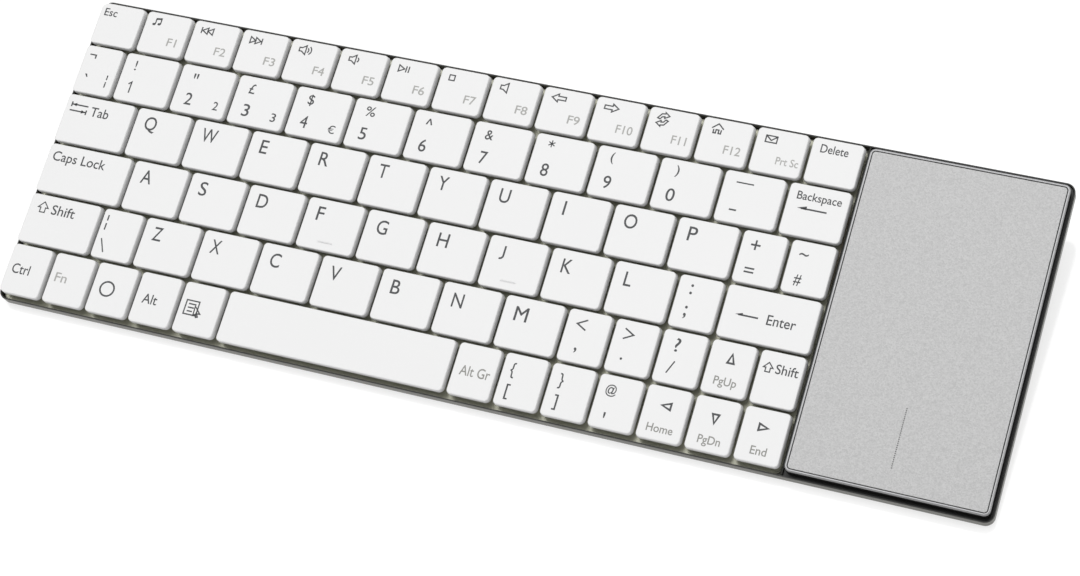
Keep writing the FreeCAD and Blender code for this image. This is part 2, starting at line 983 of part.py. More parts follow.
def pan_screws(screw_places):
    """Round-headed screws up through the pan into the black frame."""
    screws = []
    for x, y in screw_places:
        head = Part.makeCylinder(
            screw_head_radius, screw_head_height, Vec(x, y, -screw_head_height)
        )
        shank = Part.makeCylinder(screw_radius, screw_length, Vec(x, y, 0))
        screw = head.fuse(shank)
        for dx, dy in ((screw_slot_width, screw_head_radius), (screw_head_radius, screw_slot_width)):
            arm = box(
                x - dx / 2,
                x + dx / 2,
                y - dy / 2,
                y + dy / 2,
                -screw_head_height,
                -screw_head_height + screw_slot_depth,
            )
            screw = screw.cut(arm)
        screws.append(screw)
    return screws


def place(solids):
    """Tip the pieces to the typing angle and stand them over the origin."""
    tilt = math.radians(typing_tilt)
    front = -(case_depth / 2) * math.cos(tilt) - rim_height * math.sin(tilt)
    back = max(
        case_depth / 2 * math.cos(tilt),
        tube_y * math.cos(tilt) - tube_z * math.sin(tilt) + tube_radius,
    )
    lift = foot_drop * math.cos(tilt) - foot_y * math.sin(tilt)
    placed = []
    for solid in solids:
        solid = solid.copy()
        solid.rotate(Vec(0, 0, 0), Vec(1, 0, 0), typing_tilt)
        solid.translate(Vec(0, -(front + back) / 2, lift))
        placed.append(solid)
    return placed


def stand_flat(feet):
    """Cut the feet level with the desk."""
    below = box(-case_length, case_length, -case_depth, case_depth, -case_depth, 0)
    return [foot.cut(below) for foot in feet]


def build():
    """Every node's solids, drawn flat."""
    cells = key_plan()
    middles = cell_middles(cells)
    space = [cell for cell in cells if cell[0] == "space_bar"][0]
    screw_places = screw_positions()
    nodes = key_nodes(cells)
    nodes.update(
        {
            "base_pan": [base_pan(screw_places)],
            "chassis_frame": [chassis_frame(screw_places)],
            "bay_divider": [bay_divider()],
            "support_plate": [support_plate(middles, space)],
            "membrane_layers": membrane_layers(middles, space),
            "rubber_domes": rubber_domes(middles),
            "scissor_links": scissor_links(middles),
            "space_bar_wire": [space_bar_wire(space)],
            "touchpad_bezel": [touchpad_bezel()],
            "touchpad_plate": [touchpad_plate()],
            "touchpad_sensor_board": [touchpad_sensor_board()],
            "click_switches": click_switches(),
            "main_board": main_board(),
            "inner_wiring": [keyboard_tail(), touchpad_ribbon()] + battery_leads(),
            "battery_tube": [battery_tube()],
            "battery_cap": [battery_cap()],
            "battery_cells": battery_cells(),
            "battery_contacts": battery_contacts(),
            "tube_end_plug": [tube_end_plug()],
            "power_switch_slider": [power_switch_slider()],
            "rubber_feet": rubber_feet(),
            "pan_screws": pan_screws(screw_places),
        }
    )
    return nodes


def main():
    """Write one file per node."""
    os.makedirs("parts", exist_ok=True)
    for node, solids in build().items():
        placed = place(solids)
        if node == "rubber_feet":
            placed = stand_flat(placed)
        shape = placed[0] if len(placed) == 1 else Part.makeCompound(placed)
        shape.exportStep("parts/" + node + ".step")


main()
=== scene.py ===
"""Looks for a slim wireless keyboard with a clicking touchpad at its right end.

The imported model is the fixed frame. Sizes in the classes are millimetres on
the deck, which has X to the right, Y to the back and Z up from the underside
of the steel pan. Every mesh is tipped to the typing angle and turned into
metres as it is made.
"""

import json
import logging
import math
from dataclasses import dataclass, field
from enum import Enum
from typing import Any, Sequence

import bmesh
import bpy
import numpy as np
from mathutils import Matrix, Vector


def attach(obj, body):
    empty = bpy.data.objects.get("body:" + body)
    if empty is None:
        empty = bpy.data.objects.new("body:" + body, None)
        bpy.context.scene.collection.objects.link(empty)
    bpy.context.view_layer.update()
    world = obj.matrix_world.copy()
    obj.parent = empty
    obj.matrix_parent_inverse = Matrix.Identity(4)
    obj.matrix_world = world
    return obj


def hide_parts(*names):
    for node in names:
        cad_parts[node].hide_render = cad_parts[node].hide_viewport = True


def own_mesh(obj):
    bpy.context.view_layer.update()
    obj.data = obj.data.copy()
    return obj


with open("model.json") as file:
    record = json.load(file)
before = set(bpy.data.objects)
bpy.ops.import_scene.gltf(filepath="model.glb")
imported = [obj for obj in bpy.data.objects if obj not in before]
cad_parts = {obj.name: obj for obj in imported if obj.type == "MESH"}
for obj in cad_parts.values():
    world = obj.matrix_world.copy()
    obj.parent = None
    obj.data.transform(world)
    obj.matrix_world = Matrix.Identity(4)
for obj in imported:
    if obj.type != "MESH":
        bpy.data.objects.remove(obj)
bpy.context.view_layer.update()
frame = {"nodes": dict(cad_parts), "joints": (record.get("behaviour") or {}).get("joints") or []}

MM = 0.001
MERGE_DECIMALS = 4
EVEN = (1.0, 1.0, 1.0)
LEAST_RADIUS = 0.05
EDGE_STEP = 0.06
log = logging.getLogger("keyboard")

Colour = tuple[float, float, float, float]
Tones = tuple[Colour, Colour]
Point = tuple[float, float]
Triple = tuple[float, float, float]


def shade_of(red: int, green: int, blue: int) -> Colour:
    """Linear colour of a screen colour: the power curve of the sRGB standard undone.

    Args:
        red: Red from 0 to 255.
        green: Green from 0 to 255.
        blue: Blue from 0 to 255.

    Returns:
        Linear red, green and blue with full alpha.
    """
    parts = np.array([red, green, blue]) / 255.0
    low = parts / 12.92
    high = ((parts + 0.055) / 1.055) ** 2.4
    return (*np.where(parts <= 0.04045, low, high).tolist(), 1.0)


def grey(level: int) -> Colour:
    """Linear colour of a screen grey."""
    return shade_of(level, level, level)


def scaled(colour: Colour, share: float) -> Colour:
    """The colour made lighter or darker by a share."""
    return (*[min(1.0, part * share) for part in colour[:3]], 1.0)


def tones(red: int, green: int, blue: int, darker: float, lighter: float = 0.0) -> Tones:
    """A screen colour's dark and light tones, by a share under and over it, or one for both."""
    colour = shade_of(red, green, blue)
    return scaled(colour, 1 - darker), scaled(colour, 1 + (lighter or darker))


# Shader maths


class Signal:
    """A shader socket that takes part in Python expressions, from either side."""

    def __init__(self, wiring: "Wiring", socket: bpy.types.NodeSocket) -> None:
        """Keep the socket and the wiring that it belongs to."""
        self.wiring = wiring
        self.socket = socket

    def _math(self, operation: str, first: Any, second: Any) -> "Signal":
        """A Math node on two values or signals."""
        return self.wiring.node("ShaderNodeMath", {"operation": operation}, {0: first, 1: second})

    def __add__(self, other: Any) -> "Signal":
        """self + other."""
        return self._math("ADD", self, other)

    def __radd__(self, other: Any) -> "Signal":
        """other + self."""
        return self._math("ADD", other, self)

    def __sub__(self, other: Any) -> "Signal":
        """self - other."""
        return self._math("SUBTRACT", self, other)

    def __rsub__(self, other: Any) -> "Signal":
        """other - self."""
        return self._math("SUBTRACT", other, self)

    def __mul__(self, other: Any) -> "Signal":
        """self * other."""
        return self._math("MULTIPLY", self, other)

    def __rmul__(self, other: Any) -> "Signal":
        """other * self."""
        return self._math("MULTIPLY", other, self)

    def __gt__(self, other: Any) -> "Signal":
        """1 where self is more than other, and 0 elsewhere."""
        return self._math("GREATER_THAN", self, other)


class Wiring:
    """The node tree of one material."""

    def __init__(self, name: str) -> None:
        """Make a material with a bare surface shader.

        Args:
            name: The material's name.
        """
        self.material = bpy.data.materials.new(name)
        self.material.use_nodes = True
        self.tree = self.material.node_tree
        self.tree.nodes.clear()
        self.surface = self.tree.nodes.new("ShaderNodeBsdfPrincipled")
        output = self.tree.nodes.new("ShaderNodeOutputMaterial")
        self.tree.links.new(self.surface.outputs[0], output.inputs["Surface"])

    def feed(self, socket: bpy.types.NodeSocket, value: Any) -> None:
        """Link a signal to a socket, or set the socket to a value.

        Args:
            socket: The input to feed.
            value: A signal, a number, a colour or a vector.
        """
        if isinstance(value, Signal):
            self.tree.links.new(value.socket, socket)
        else:
            socket.default_value = value

    def node(
        self,
        kind: str,
        settings: dict[str, Any] | None = None,
        values: dict[int | str, Any] | None = None,
        output: int | str = 0,
    ) -> Signal:
        """Any node, with its settings set before its sockets.

        Args:
            kind: The node's type.
            settings: The node's own settings.
            values: Values or signals for its sockets.
            output: The output that the signal is taken from.

        Returns:
            The signal of that output.
        """
        made = self.tree.nodes.new(kind)
        for key, setting in (settings or {}).items():
            setattr(made, key, setting)
        for key, value in (values or {}).items():
            self.feed(made.inputs[key], value)
        return Signal(self, made.outputs[output])

    def place(self, stretch: Triple = EVEN) -> Signal:
        """Object coordinates, stretched along the three axes."""
        values = {0: self.node("ShaderNodeTexCoord", output="Object"), 1: stretch}
        return self.node("ShaderNodeVectorMath", {"operation": "MULTIPLY"}, values)

    def noise(self, size: float, stretch: Triple = EVEN, detail: float = 2.0) -> Signal:
        """Cloudy noise with features of about a size in millimetres."""
        values = {"Vector": self.place(stretch), "Scale": 1 / (size * MM), "Detail": detail}
        return self.node("ShaderNodeTexNoise", values=values, output="Fac")

    def grain(self, size: float, stretch: Triple = EVEN) -> Signal:
        """Noise with one more octave, for fine surfaces."""
        return self.noise(size, stretch, 3.0)

    def blend(self, share: Any, first: Any, second: Any) -> Signal:
        """A colour between two colours."""
        values = {0: share, 6: first, 7: second}
        return self.node("ShaderNodeMix", {"data_type": "RGBA"}, values, 2)

    def relief(self, height: Signal, depth: float) -> None:
        """Bump the surface by a height signal over a depth in millimetres."""
        values = {"Strength": 1.0, "Distance": depth * MM, "Height": height}
        self.feed(self.surface.inputs["Normal"], self.node("ShaderNodeBump", values=values))

    def finish(self, **values: Any) -> bpy.types.Material:
        """Feed the shader's sockets and give the material.

        Args:
            **values: A value or signal for each socket, named with _ for a space.

        Returns:
            The material.
        """
        for key, value in values.items():
            self.feed(self.surface.inputs[key.replace("_", " ")], value)
        return self.material


# Finishes

INK_SPREAD = (0.12, 0.14)


@dataclass(frozen=True)
class Finish:
    """A surface that runs from a dark to a light tone over a pattern."""

    name: str
    tones: Tones
    roughness: float
    grain: float
    depth: float = 0.004
    gloss: float = 0.12
    metallic: float = 0.0
    specular: float = 0.5

    def pattern(self, wiring: Wiring) -> tuple[Signal, Signal, Signal]:
        """The share of the light tone, what moves the gloss, and what stands in relief."""
        cloud = wiring.noise(self.grain)
        return cloud, cloud, cloud

    def colour(self, wiring: Wiring, share: Signal) -> Signal:
        """The colour for a share of the light tone."""
        return wiring.blend(share, *self.tones)

    def material(self) -> bpy.types.Material:
        """Lay the pattern over the colour, the gloss and the relief.

        Returns:
            The material.
        """
        wiring = Wiring(self.name)
        share, gloss, height = self.pattern(wiring)
        if self.depth:
            wiring.relief(height, self.depth)
        return wiring.finish(
            Base_Color=self.colour(wiring, share),
            Roughness=self.roughness + (gloss - 0.5) * self.gloss,
            Metallic=self.metallic,
            Specular_IOR_Level=self.specular,
        )


@dataclass(frozen=True)
class Moulded(Finish):
    """Moulded plastic or rubber with a fine spark-eroded grain."""

    drift: float = 35.0

    def pattern(self, wiring: Wiring) -> tuple[Signal, Signal, Signal]:
        """The colour drifts slowly, and the grain moves the rest."""
        grain = wiring.grain(self.grain)
        return wiring.noise(self.drift), grain, grain


@dataclass(frozen=True)
class CapPlasticPaintedShade(Moulded):
    """White plastic with painted shade: its walls darken from the round edge to the foot."""

    normal: Triple = (0.0, 0.0, 1.0)
    levels: Point = (0.0, 1.0)
    # The tone of the painted shade at the foot of the walls.
    wall: Colour = scaled(grey(210), 0.8)
    reach: float = 0.75

    def colour(self, wiring: Wiring, share: Signal) -> Signal:
        """The painted shade at the wall's foot gives way to white with height, up to the round edge.

        Args:
            wiring: The material's nodes.
            share: The share of the light tone in the white.

        Returns:
            The colour.
        """
        values = {0: wiring.place(), 1: self.normal}
        height = wiring.node("ShaderNodeVectorMath", {"operation": "DOT_PRODUCT"}, values, "Value")
        foot, top = self.levels
        rise = (height - foot) * (1 / (self.reach * (top - foot)))
        # Painted shade: the wall tone darkens the white towards each cap's foot.
        return wiring.blend(rise, self.wall, super().colour(wiring, share))


@dataclass(frozen=True)
class Brushed(Finish):
    """Metal brushed along one axis of the case."""

    grain: float = 0.12
    depth: float = 0.002
    gloss: float = 0.2
    metallic: float = 1.0
    stretch: Triple = (0.02, 1.0, 1.0)
    cloud: float = 12.0
    cloud_share: float = 0.3

    def pattern(self, wiring: Wiring) -> tuple[Signal, Signal, Signal]:
        """Long streaks, with a wide cloud in the colour."""
        streak, cloud = wiring.grain(self.grain, self.stretch), wiring.noise(self.cloud)
        return streak * (1 - self.cloud_share) + cloud * self.cloud_share, streak, streak


@dataclass(frozen=True)
class Speckled(Finish):
    """Silver paint full of fine flakes."""

    grain: float = 0.32
    gloss: float = 0.15
    metallic: float = 0.35
    fine: float = 0.2
    cloud: float = 1.3
    shares: Triple = (0.5, 0.35, 0.15)

    def pattern(self, wiring: Wiring) -> tuple[Signal, Signal, Signal]:
        """Each flake has its own brightness, mixed with a finer and a wider cloud.

        Args:
            wiring: The material's nodes.

        Returns:
            The mix, the flakes alone and the fine cloud alone.
        """
        values = {"Vector": wiring.place(), "Scale": 1 / (self.grain * MM)}
        cell = wiring.node("ShaderNodeTexVoronoi", values=values, output="Color")
        flake = wiring.node("ShaderNodeSeparateColor", values={0: cell})
        fine, cloud = wiring.noise(self.fine), wiring.grain(self.cloud)
        mix = flake * self.shares[0] + fine * self.shares[1] + cloud * self.shares[2]
        return mix, flake, fine


@dataclass(frozen=True)
class Printed(Finish):
    """Pad-printed ink, a little thinner in spots."""

    roughness: float = 0.5
    grain: float = 0.3
    depth: float = 0.0
    gloss: float = 0.1

    def pattern(self, wiring: Wiring) -> tuple[Signal, Signal, Signal]:
        """Fine spots."""
        spots = wiring.grain(self.grain)
        return spots, spots, spots


@dataclass(frozen=True)
class Laminate(Finish):
    """Circuit laminate or a printed film: lacquer over a net of fine metal lines."""

    depth: float = 0.01
    gloss: float = 0.15
    width: float = 0.06
    stagger: float = 0.37
    blur: float = 0.2
    cloud: float = 6.0
    faint: float = 0.5
    strong: float = 1.3

    def pattern(self, wiring: Wiring) -> tuple[Signal, Signal, Signal]:
        """The joints of a brick pattern are the lines, from faint to strong through the lacquer.

        Args:
            wiring: The material's nodes.

        Returns:
            The lines' strength, the cloud in the lacquer, and the joints.
        """
        values = {
            "Vector": wiring.place(),
            "Scale": 1 / (self.grain * MM),
            "Mortar Size": self.width,
            "Mortar Smooth": self.blur,
        }
        joints = wiring.node("ShaderNodeTexBrick", {"offset": self.stagger}, values, "Fac")
        cloud = wiring.noise(self.cloud)
        return joints * (self.faint + cloud * (self.strong - self.faint)), cloud, joints


@dataclass(frozen=True)
class CellSleeve(Finish):
    """The shrink sleeve of a battery cell: a dark body with a bright band."""

    depth: float = 0.0
    gloss: float = 0.1
    metallic: float = 0.3
    cloud: float = 4.0
    crest: float = 0.8

    def pattern(self, wiring: Wiring) -> tuple[Signal, Signal, Signal]:
        """The wave rises once in two pitches along X, and its crest is the band.

        Args:
            wiring: The material's nodes.

        Returns:
            The band, and a cloud for the gloss and the relief.
        """
        values = {"Vector": wiring.place(), "Scale": math.pi / (20 * self.grain * MM)}
        settings = {"wave_type": "BANDS", "bands_direction": "X"}
        wave = wiring.node("ShaderNodeTexWave", settings, values, "Fac")
        cloud = wiring.noise(self.cloud)
        return wave > self.crest, cloud, cloud


@dataclass
class Palette:
    """Every finish of the keyboard, made once and shared."""

    deck: "Deck"
    made: dict[str, bpy.types.Material] = field(default_factory=dict)

    def __post_init__(self) -> None:
        """Make the materials."""
        normal = self.deck.turn[:, 2]
        levels = self.deck.to_row(np.stack(self.deck.box("enter_key")) * (0, 0, 1)) @ normal
        height = {"normal": tuple(normal.tolist()), "levels": tuple(levels.tolist())}
        board = (shade_of(30, 84, 48), shade_of(120, 142, 80))
        ribbon = (shade_of(66, 62, 54), shade_of(118, 110, 92))
        sleeve = (shade_of(36, 38, 44), shade_of(196, 198, 200))
        finishes = (
            # The caps' white, with painted shade on the walls towards the foot.
            CapPlasticPaintedShade("key_white", tones(210, 210, 210, 0.012), 0.42, 0.22, 0.003, **height),
            Moulded("frame_black", tones(9, 9, 9, 0.05), 0.3, 0.4, 0.001, specular=0.25),
            Moulded("tube_black", tones(26, 26, 28, 0.06), 0.42, 0.3, 0.012),
            Moulded("slider_grey", tones(120, 122, 124, 0.03), 0.45, 0.2, 0.006),
            Moulded("foot_rubber", tones(38, 38, 39, 0.08), 0.75, 0.35, 0.02, specular=0.3),
            Moulded("dome_rubber", tones(150, 152, 146, 0.05), 0.6, 0.3, 0.006, specular=0.3),
            Moulded("link_plastic", tones(92, 93, 88, 0.04), 0.5, 0.2),
            Brushed("pan_steel", tones(94, 93, 87, 0.12), 0.36),
            Brushed("plate_steel", tones(150, 150, 138, 0.1), 0.5, 0.8, stretch=EVEN),
            Brushed("divider_steel", tones(44, 44, 42, 0.12), 0.45, stretch=(1.0, 0.02, 1.0)),
            Brushed("trim_silver", tones(138, 138, 139, 0.04), 0.38, 0.3, 0.001, stretch=EVEN),
            Brushed("wire_steel", tones(190, 190, 188, 0.12), 0.25),
            Brushed("screw_steel", tones(150, 150, 152, 0.1), 0.3, 0.2, stretch=EVEN),
            Brushed("switch_metal", tones(200, 198, 190, 0.1), 0.3, 0.3, stretch=EVEN),
            Brushed("contact_nickel", tones(205, 200, 190, 0.08), 0.25, 0.4, stretch=EVEN),
            Speckled("touchpad_silver", (grey(130), grey(184)), 0.48),
            Printed("ink_dark", tones(50, 52, 54, *INK_SPREAD)),
            Printed("ink_light", tones(124, 124, 120, *INK_SPREAD)),
            Printed("ink_pale", tones(148, 148, 145, *INK_SPREAD)),
            Printed("dot_dark", tones(24, 24, 24, *INK_SPREAD)),
            # A black band of painted shade along the top of the pan's rim.
            Printed("rim_black", tones(20, 20, 19, *INK_SPREAD)),
            Finish("membrane_film", tones(168, 168, 150, 0.1), 0.25, 5.0, 0.0, 0.06, 0.25),
            Laminate("board_green", board, 0.4, 2.2),
            Laminate("wiring_film", ribbon, 0.4, 1.0, width=0.12),
            CellSleeve("cell_label", sleeve, 0.35, 44.5),
        )
        for finish in finishes:
            self.made[finish.name] = finish.material()

    def __getitem__(self, name: str) -> bpy.types.Material:
        """The material of that name."""
        return self.made[name]


# Deck and meshes


@dataclass(frozen=True)
class Deck:
    """The tipped plane that every size is measured on."""

    turn: np.ndarray
    origin: np.ndarray

    @classmethod
    def of_frame(cls) -> "Deck":
        """The tilt from a key's press axis, and the origin under the pan's middle.

        Returns:
            The deck.
        """
        axis = next(j["axis"] for j in frame["joints"] if j["name"] == "key_a_press")
        sine, cosine = axis[1], -axis[2]
        turn = np.array([[1, 0, 0], [0, cosine, -sine], [0, sine, cosine]])
        pan = vertices(frame["nodes"]["base_pan"].data) @ turn
        low, high = pan.min(0), pan.max(0)
        middle = np.array([(low[0] + high[0]) / 2, (low[1] + high[1]) / 2, low[2]])
        return cls(turn, turn @ middle)

    def to_row(self, points: np.ndarray) -> np.ndarray:
        """Deck millimetres turned by the tilt and shifted, in row metres."""
        return (np.asarray(points, float) * MM) @ self.turn.T + self.origin

    def to_deck(self, points: np.ndarray) -> np.ndarray:
        """Row metres shifted and turned back, in deck millimetres."""
        return ((np.asarray(points, float) - self.origin) @ self.turn) / MM

    def box(self, node: str) -> tuple[np.ndarray, np.ndarray]:
        """Lowest and highest corner of a node on the deck."""
        points = self.to_deck(vertices(frame["nodes"][node].data))
        return points.min(0), points.max(0)

    def triangles(self, node: str) -> np.ndarray:
        """The triangles of a node on the deck.

        Args:
            node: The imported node.

        Returns:
            Array of triangles, corners and coordinates.
        """
        mesh = frame["nodes"][node].data
        mesh.calc_loop_triangles()
        flat = np.empty(len(mesh.loop_triangles) * 3, np.int32)
        mesh.loop_triangles.foreach_get("vertices", flat)
        return self.to_deck(vertices(mesh))[flat].reshape(-1, 3, 3)


def vertices(mesh: bpy.types.Mesh) -> np.ndarray:
    """The points of a mesh.

    Args:
        mesh: The mesh of a node or a piece.

    Returns:
        Array of points and coordinates.
    """
    flat = np.empty(len(mesh.vertices) * 3)
    mesh.vertices.foreach_get("co", flat)
    return flat.reshape(-1, 3)


@dataclass
class Shell:
    """Points in deck millimetres, and the faces that join them."""

    points: np.ndarray
    faces: list[list[int]]

    @staticmethod
    def joined(shells: Sequence["Shell"]) -> "Shell":
        """One shell of several, with each one's face numbers raised by the points before it.

        Args:
            shells: The shells to join.

        Returns:
            The shell of them all.
        """
        starts = np.cumsum([0] + [len(shell.points) for shell in shells])
        faces = [
            [index + start for index in face]
            for shell, start in zip(shells, starts.tolist())
            for face in shell.faces
        ]
        return Shell(np.vstack([shell.points for shell in shells]), faces)

    @staticmethod
    def of_triangles(triangles: np.ndarray) -> "Shell":
        """Triangles with the corners that fall together merged to one point.

        Args:
            triangles: Array of triangles, corners and coordinates.

        Returns:
            The merged shell.
        """
        corners = triangles.reshape(-1, 3)
        rounded = np.round(corners, MERGE_DECIMALS)
        _, first, index = np.unique(rounded, axis=0, return_index=True, return_inverse=True)
        return Shell(corners[first], index.reshape(-1, 3).tolist())


def swept(rings: np.ndarray, closed: bool = False) -> Shell:
    """A skin over rings of points.

    Each ring's points run round the piece, and point j of a ring is joined to
    point j of the next. The two end rings are filled, or joined if closed.

    Args:
        rings: Array of rings, points and coordinates.
        closed: True where the last ring goes on to the first.

    Returns:
        The closed shell, facing outwards where the rings turn anticlockwise.
    """
    count, around = rings.shape[:2]
    index = np.arange(count * around).reshape(count, around)
    if closed:
        index = np.vstack([index, index[:1]])
    index = np.hstack([index, index[:, :1]])
    quads = np.stack([index[:-1, :-1], index[:-1, 1:], index[1:, 1:], index[1:, :-1]], -1)
    faces = quads.reshape(-1, 4).tolist()
    if not closed:
        faces.append(index[0, :-1][::-1].tolist())
        faces.append(index[-1, :-1].tolist())
    return Shell(rings.reshape(-1, 3), faces)


def lifted(flat: np.ndarray, z: float) -> np.ndarray:
    """Flat points at a height."""
    return np.column_stack([flat, np.full(len(flat), z)])


def slab(flat: np.ndarray, low: float, high: float) -> Shell:
    """A closed slab over a flat outline, between two heights."""
    return swept(np.stack([lifted(flat, low), lifted(flat, high)]))


@dataclass(frozen=True)
class Plan:
    """A rounded rectangle seen from above, with radii from front left anticlockwise."""

    x0: float
    x1: float
    y0: float
    y1: float
    radii: tuple[float, float, float, float]
    steps: int = 6

    def ring(self, inset: float, z: float) -> np.ndarray:
        """The outline drawn in by an inset at a height.

        A corner's centre stays put while its radius shrinks by the inset; a
        point is the centre plus the radius times the cosine and sine of an
        angle that runs a quarter turn a corner.

        Args:
            inset: How far the outline is drawn in.
            z: The height of the ring.

        Returns:
            Points anticlockwise from the front left corner.
        """
        small = np.maximum(np.array(self.radii) - inset, LEAST_RADIUS)[:, None]
        x = np.array([self.x0, self.x1, self.x1, self.x0])[:, None]
        y = np.array([self.y0, self.y0, self.y1, self.y1])[:, None]
        inwards = np.array([(1, 1), (-1, 1), (-1, -1), (1, -1)])
        centres = np.hstack([x, y]) + inwards * (small + inset)
        quarter = np.linspace(0, math.pi / 2, self.steps + 1)
        angles = np.radians([180, 270, 0, 90])[:, None] + quarter
        x = centres[:, :1] + small * np.cos(angles)
        y = centres[:, 1:] + small * np.sin(angles)
        return lifted(np.stack([x, y], -1).reshape(-1, 2), z)

    @classmethod
    def over(cls, low: Sequence[float], high: Sequence[float], radius: float, steps: int = 10) -> "Plan":
        """The outline of a box with four equal corners."""
        return cls(low[0], high[0], low[1], high[1], (radius,) * 4, steps)

    def skin(self, levels: Sequence[Point], closed: bool = False) -> Shell:
        """A skin over rings given as insets and heights."""
        return swept(np.stack([self.ring(inset, z) for inset, z in levels]), closed)


def rounded_edge(inset: float, top: float, radius: float, steps: int = 5) -> list[Point]:
    """Insets and heights of a quarter-round edge up to a flat top.

    The inset grows by radius times one minus the cosine, and the height by
    radius times the sine, of an angle from nothing to a quarter turn. One
    more level a step inside keeps the top flat to its edge.

    Args:
        inset: The wall's inset where the round starts.
        top: The height of the top.
        radius: The radius of the round.
        steps: The number of steps along the arc.

    Returns:
        Pairs of inset and height from the wall to the top.
    """
    angles = np.linspace(0, math.pi / 2, steps + 1)
    insets = inset + radius * (1 - np.cos(angles))
    heights = top - radius + radius * np.sin(angles)
    levels = list(zip(insets.tolist(), heights.tolist()))
    return levels + [(levels[-1][0] + EDGE_STEP, top)]


def block(low: Sequence[float], high: Sequence[float]) -> Shell:
    """A small closed block between two corners."""
    return Plan.over(low, high, LEAST_RADIUS, 1).skin([(0, low[2]), (0, high[2])])


def placed(name: str, data: Any) -> bpy.types.Object:
    """An object of some data, in the scene.

    Args:
        name: The object's name.
        data: Its mesh, text, lamp or camera.

    Returns:
        The object.
    """
    made = bpy.data.objects.new(name, data)
    bpy.context.scene.collection.objects.link(made)
    return made


@dataclass
class Workshop:
    """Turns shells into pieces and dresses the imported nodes."""

    deck: Deck
    palette: Palette
    flat_angle: float = 0.5
    edge_angle: float = 40.0

    def piece(
        self,
        name: str,
        shell: Shell,
        body: str,
        finish: str,
        slot: str | None = None,
        smooth: float = 35.0,
        stands_for: Sequence[str] = (),
    ) -> bpy.types.Object:
        """A mesh in row metres that rides on a body.

        Args:
            name: The piece's name.
            shell: Its points and faces on the deck.
            body: The body it rides on.
            finish: The palette's material for it.
            slot: Not used.
            smooth: Edges sharper than this many degrees stay sharp.
            stands_for: The nodes that it replaces.

        Returns:
            The piece.
        """
        mesh = bpy.data.meshes.new(name)
        mesh.from_pydata(self.deck.to_row(shell.points), [], shell.faces)
        mesh.polygons.foreach_set("use_smooth", np.ones(len(mesh.polygons), bool))
        mesh.set_sharp_from_angle(angle=math.radians(smooth))
        mesh.materials.append(self.palette[finish])
        mesh.update()
        made = placed(name, mesh)
        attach(made, body)
        if stands_for:
            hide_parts(*stands_for)
        log.info("%s: %d faces on %s", name, len(shell.faces), body)
        return made

    def soften(self, node: str, body: str, finish: str, edge: float) -> None:
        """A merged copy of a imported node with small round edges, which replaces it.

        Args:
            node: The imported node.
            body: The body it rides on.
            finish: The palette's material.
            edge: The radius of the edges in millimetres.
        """
        shell = Shell.of_triangles(self.deck.triangles(node))
        made = self.piece(f"{node}_shape", shell, body, finish, finish, stands_for=[node])
        work = bmesh.new()
        work.from_mesh(made.data)
        flat = math.radians(self.flat_angle)
        bmesh.ops.dissolve_limit(work, angle_limit=flat, verts=work.verts, edges=work.edges)
        work.to_mesh(made.data)
        work.free()
        bevel = made.modifiers.new("edges", "BEVEL")
        bevel.width = edge * MM
        bevel.segments = 2
        bevel.limit_method = "ANGLE"
        bevel.angle_limit = math.radians(self.edge_angle)

    def dress(self, node: str, finish: str) -> None:
        """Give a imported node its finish.

        Args:
            node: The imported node.
            finish: The palette's material.
        """
        mesh = frame["nodes"][node].data
        mesh.materials.clear()
        mesh.materials.append(self.palette[finish])
        log.info("%s dressed in %s", node, finish)


# Signs and words on the keys


class Tone(Enum):
    """The three inks."""

    DARK = "ink_dark"
    LIGHT = "ink_light"
    PALE = "ink_pale"


class Hold(Enum):
    """Which point of a mark its place gives."""

    LEFT = "left end of the top line"
    RIGHT = "right end of the top line"
    CENTRE = "middle of the top line"
    MIDDLE = "middle of the ink"


@dataclass(frozen=True)
class Sign:
    """A drawn sign, one unit high and from x = 0, as stroked lines and filled shapes."""

    open_lines: tuple[tuple[Point, ...], ...] = ()
    loops: tuple[tuple[Point, ...], ...] = ()
    fills: tuple[tuple[Point, ...], ...] = ()


def bend(centre: Point, radii: Point, start: float, end: float, steps: int = 10) -> tuple[Point, ...]:
    """Points on an ellipse's arc.

    A point is the centre plus the radii times the cosine and sine of its angle.

    Args:
        centre: The ellipse's centre.
        radii: Its radii along x and y.
        start: The first angle in degrees.
        end: The last angle in degrees.
        steps: The number of steps along the arc.

    Returns:
        The points in order.
    """
    angles = np.radians(np.linspace(start, end, steps + 1))
    x = centre[0] + radii[0] * np.cos(angles)
    y = centre[1] + radii[1] * np.sin(angles)
    return tuple(zip(x.tolist(), y.tolist()))


def flipped(points: tuple[Point, ...], width: float) -> tuple[Point, ...]:
    """The points mirrored from side to side of a width."""
    return tuple((width - x, y) for x, y in points)


def grown(points: Sequence[Point], size: float) -> list[Point]:
    """A line of a drawing at its size in millimetres."""
    return [(x * size, y * size) for x, y in points]


def turned(points: tuple[Point, ...], width: float) -> tuple[Point, ...]:
    """The points turned by half a turn in a box of a width and one unit high."""
    return tuple((width - x, 1 - y) for x, y in points)


SPEAKER = ((0.0, 0.3), (0.28, 0.3), (0.72, 0.0), (0.72, 1.0), (0.28, 0.7), (0.0, 0.7))
LEFT_ARROW = ((0, 0.5), (0.75, 1), (0.75, 0.72), (1.7, 0.72), (1.7, 0.28), (0.75, 0.28), (0.75, 0))
UP_ARROW = ((0.5, 1), (1, 0.45), (0.74, 0.45), (0.74, 0), (0.26, 0), (0.26, 0.45), (0, 0.45))
LEFT_WEDGE = ((0, 0.5), (1.3, 1), (1.3, 0))
UP_WEDGE = ((0.36, 1), (0.72, 0), (0, 0))
WAVE_NEAR = bend((0.72, 0.5), (0.32, 0.3), -55, 55, 6)
WAVE_FAR = bend((0.72, 0.5), (0.62, 0.55), -50, 50, 8)
ARROW_TAIL = ((0.32, 0.68), (0.2, 0.5), (0.02, 0.56), (0.26, 0.9), (0.52, 0.94))
CHASING_ARROW = ARROW_TAIL + ((0.5, 1.04), (0.84, 0.8), (0.52, 0.6), (0.5, 0.72))
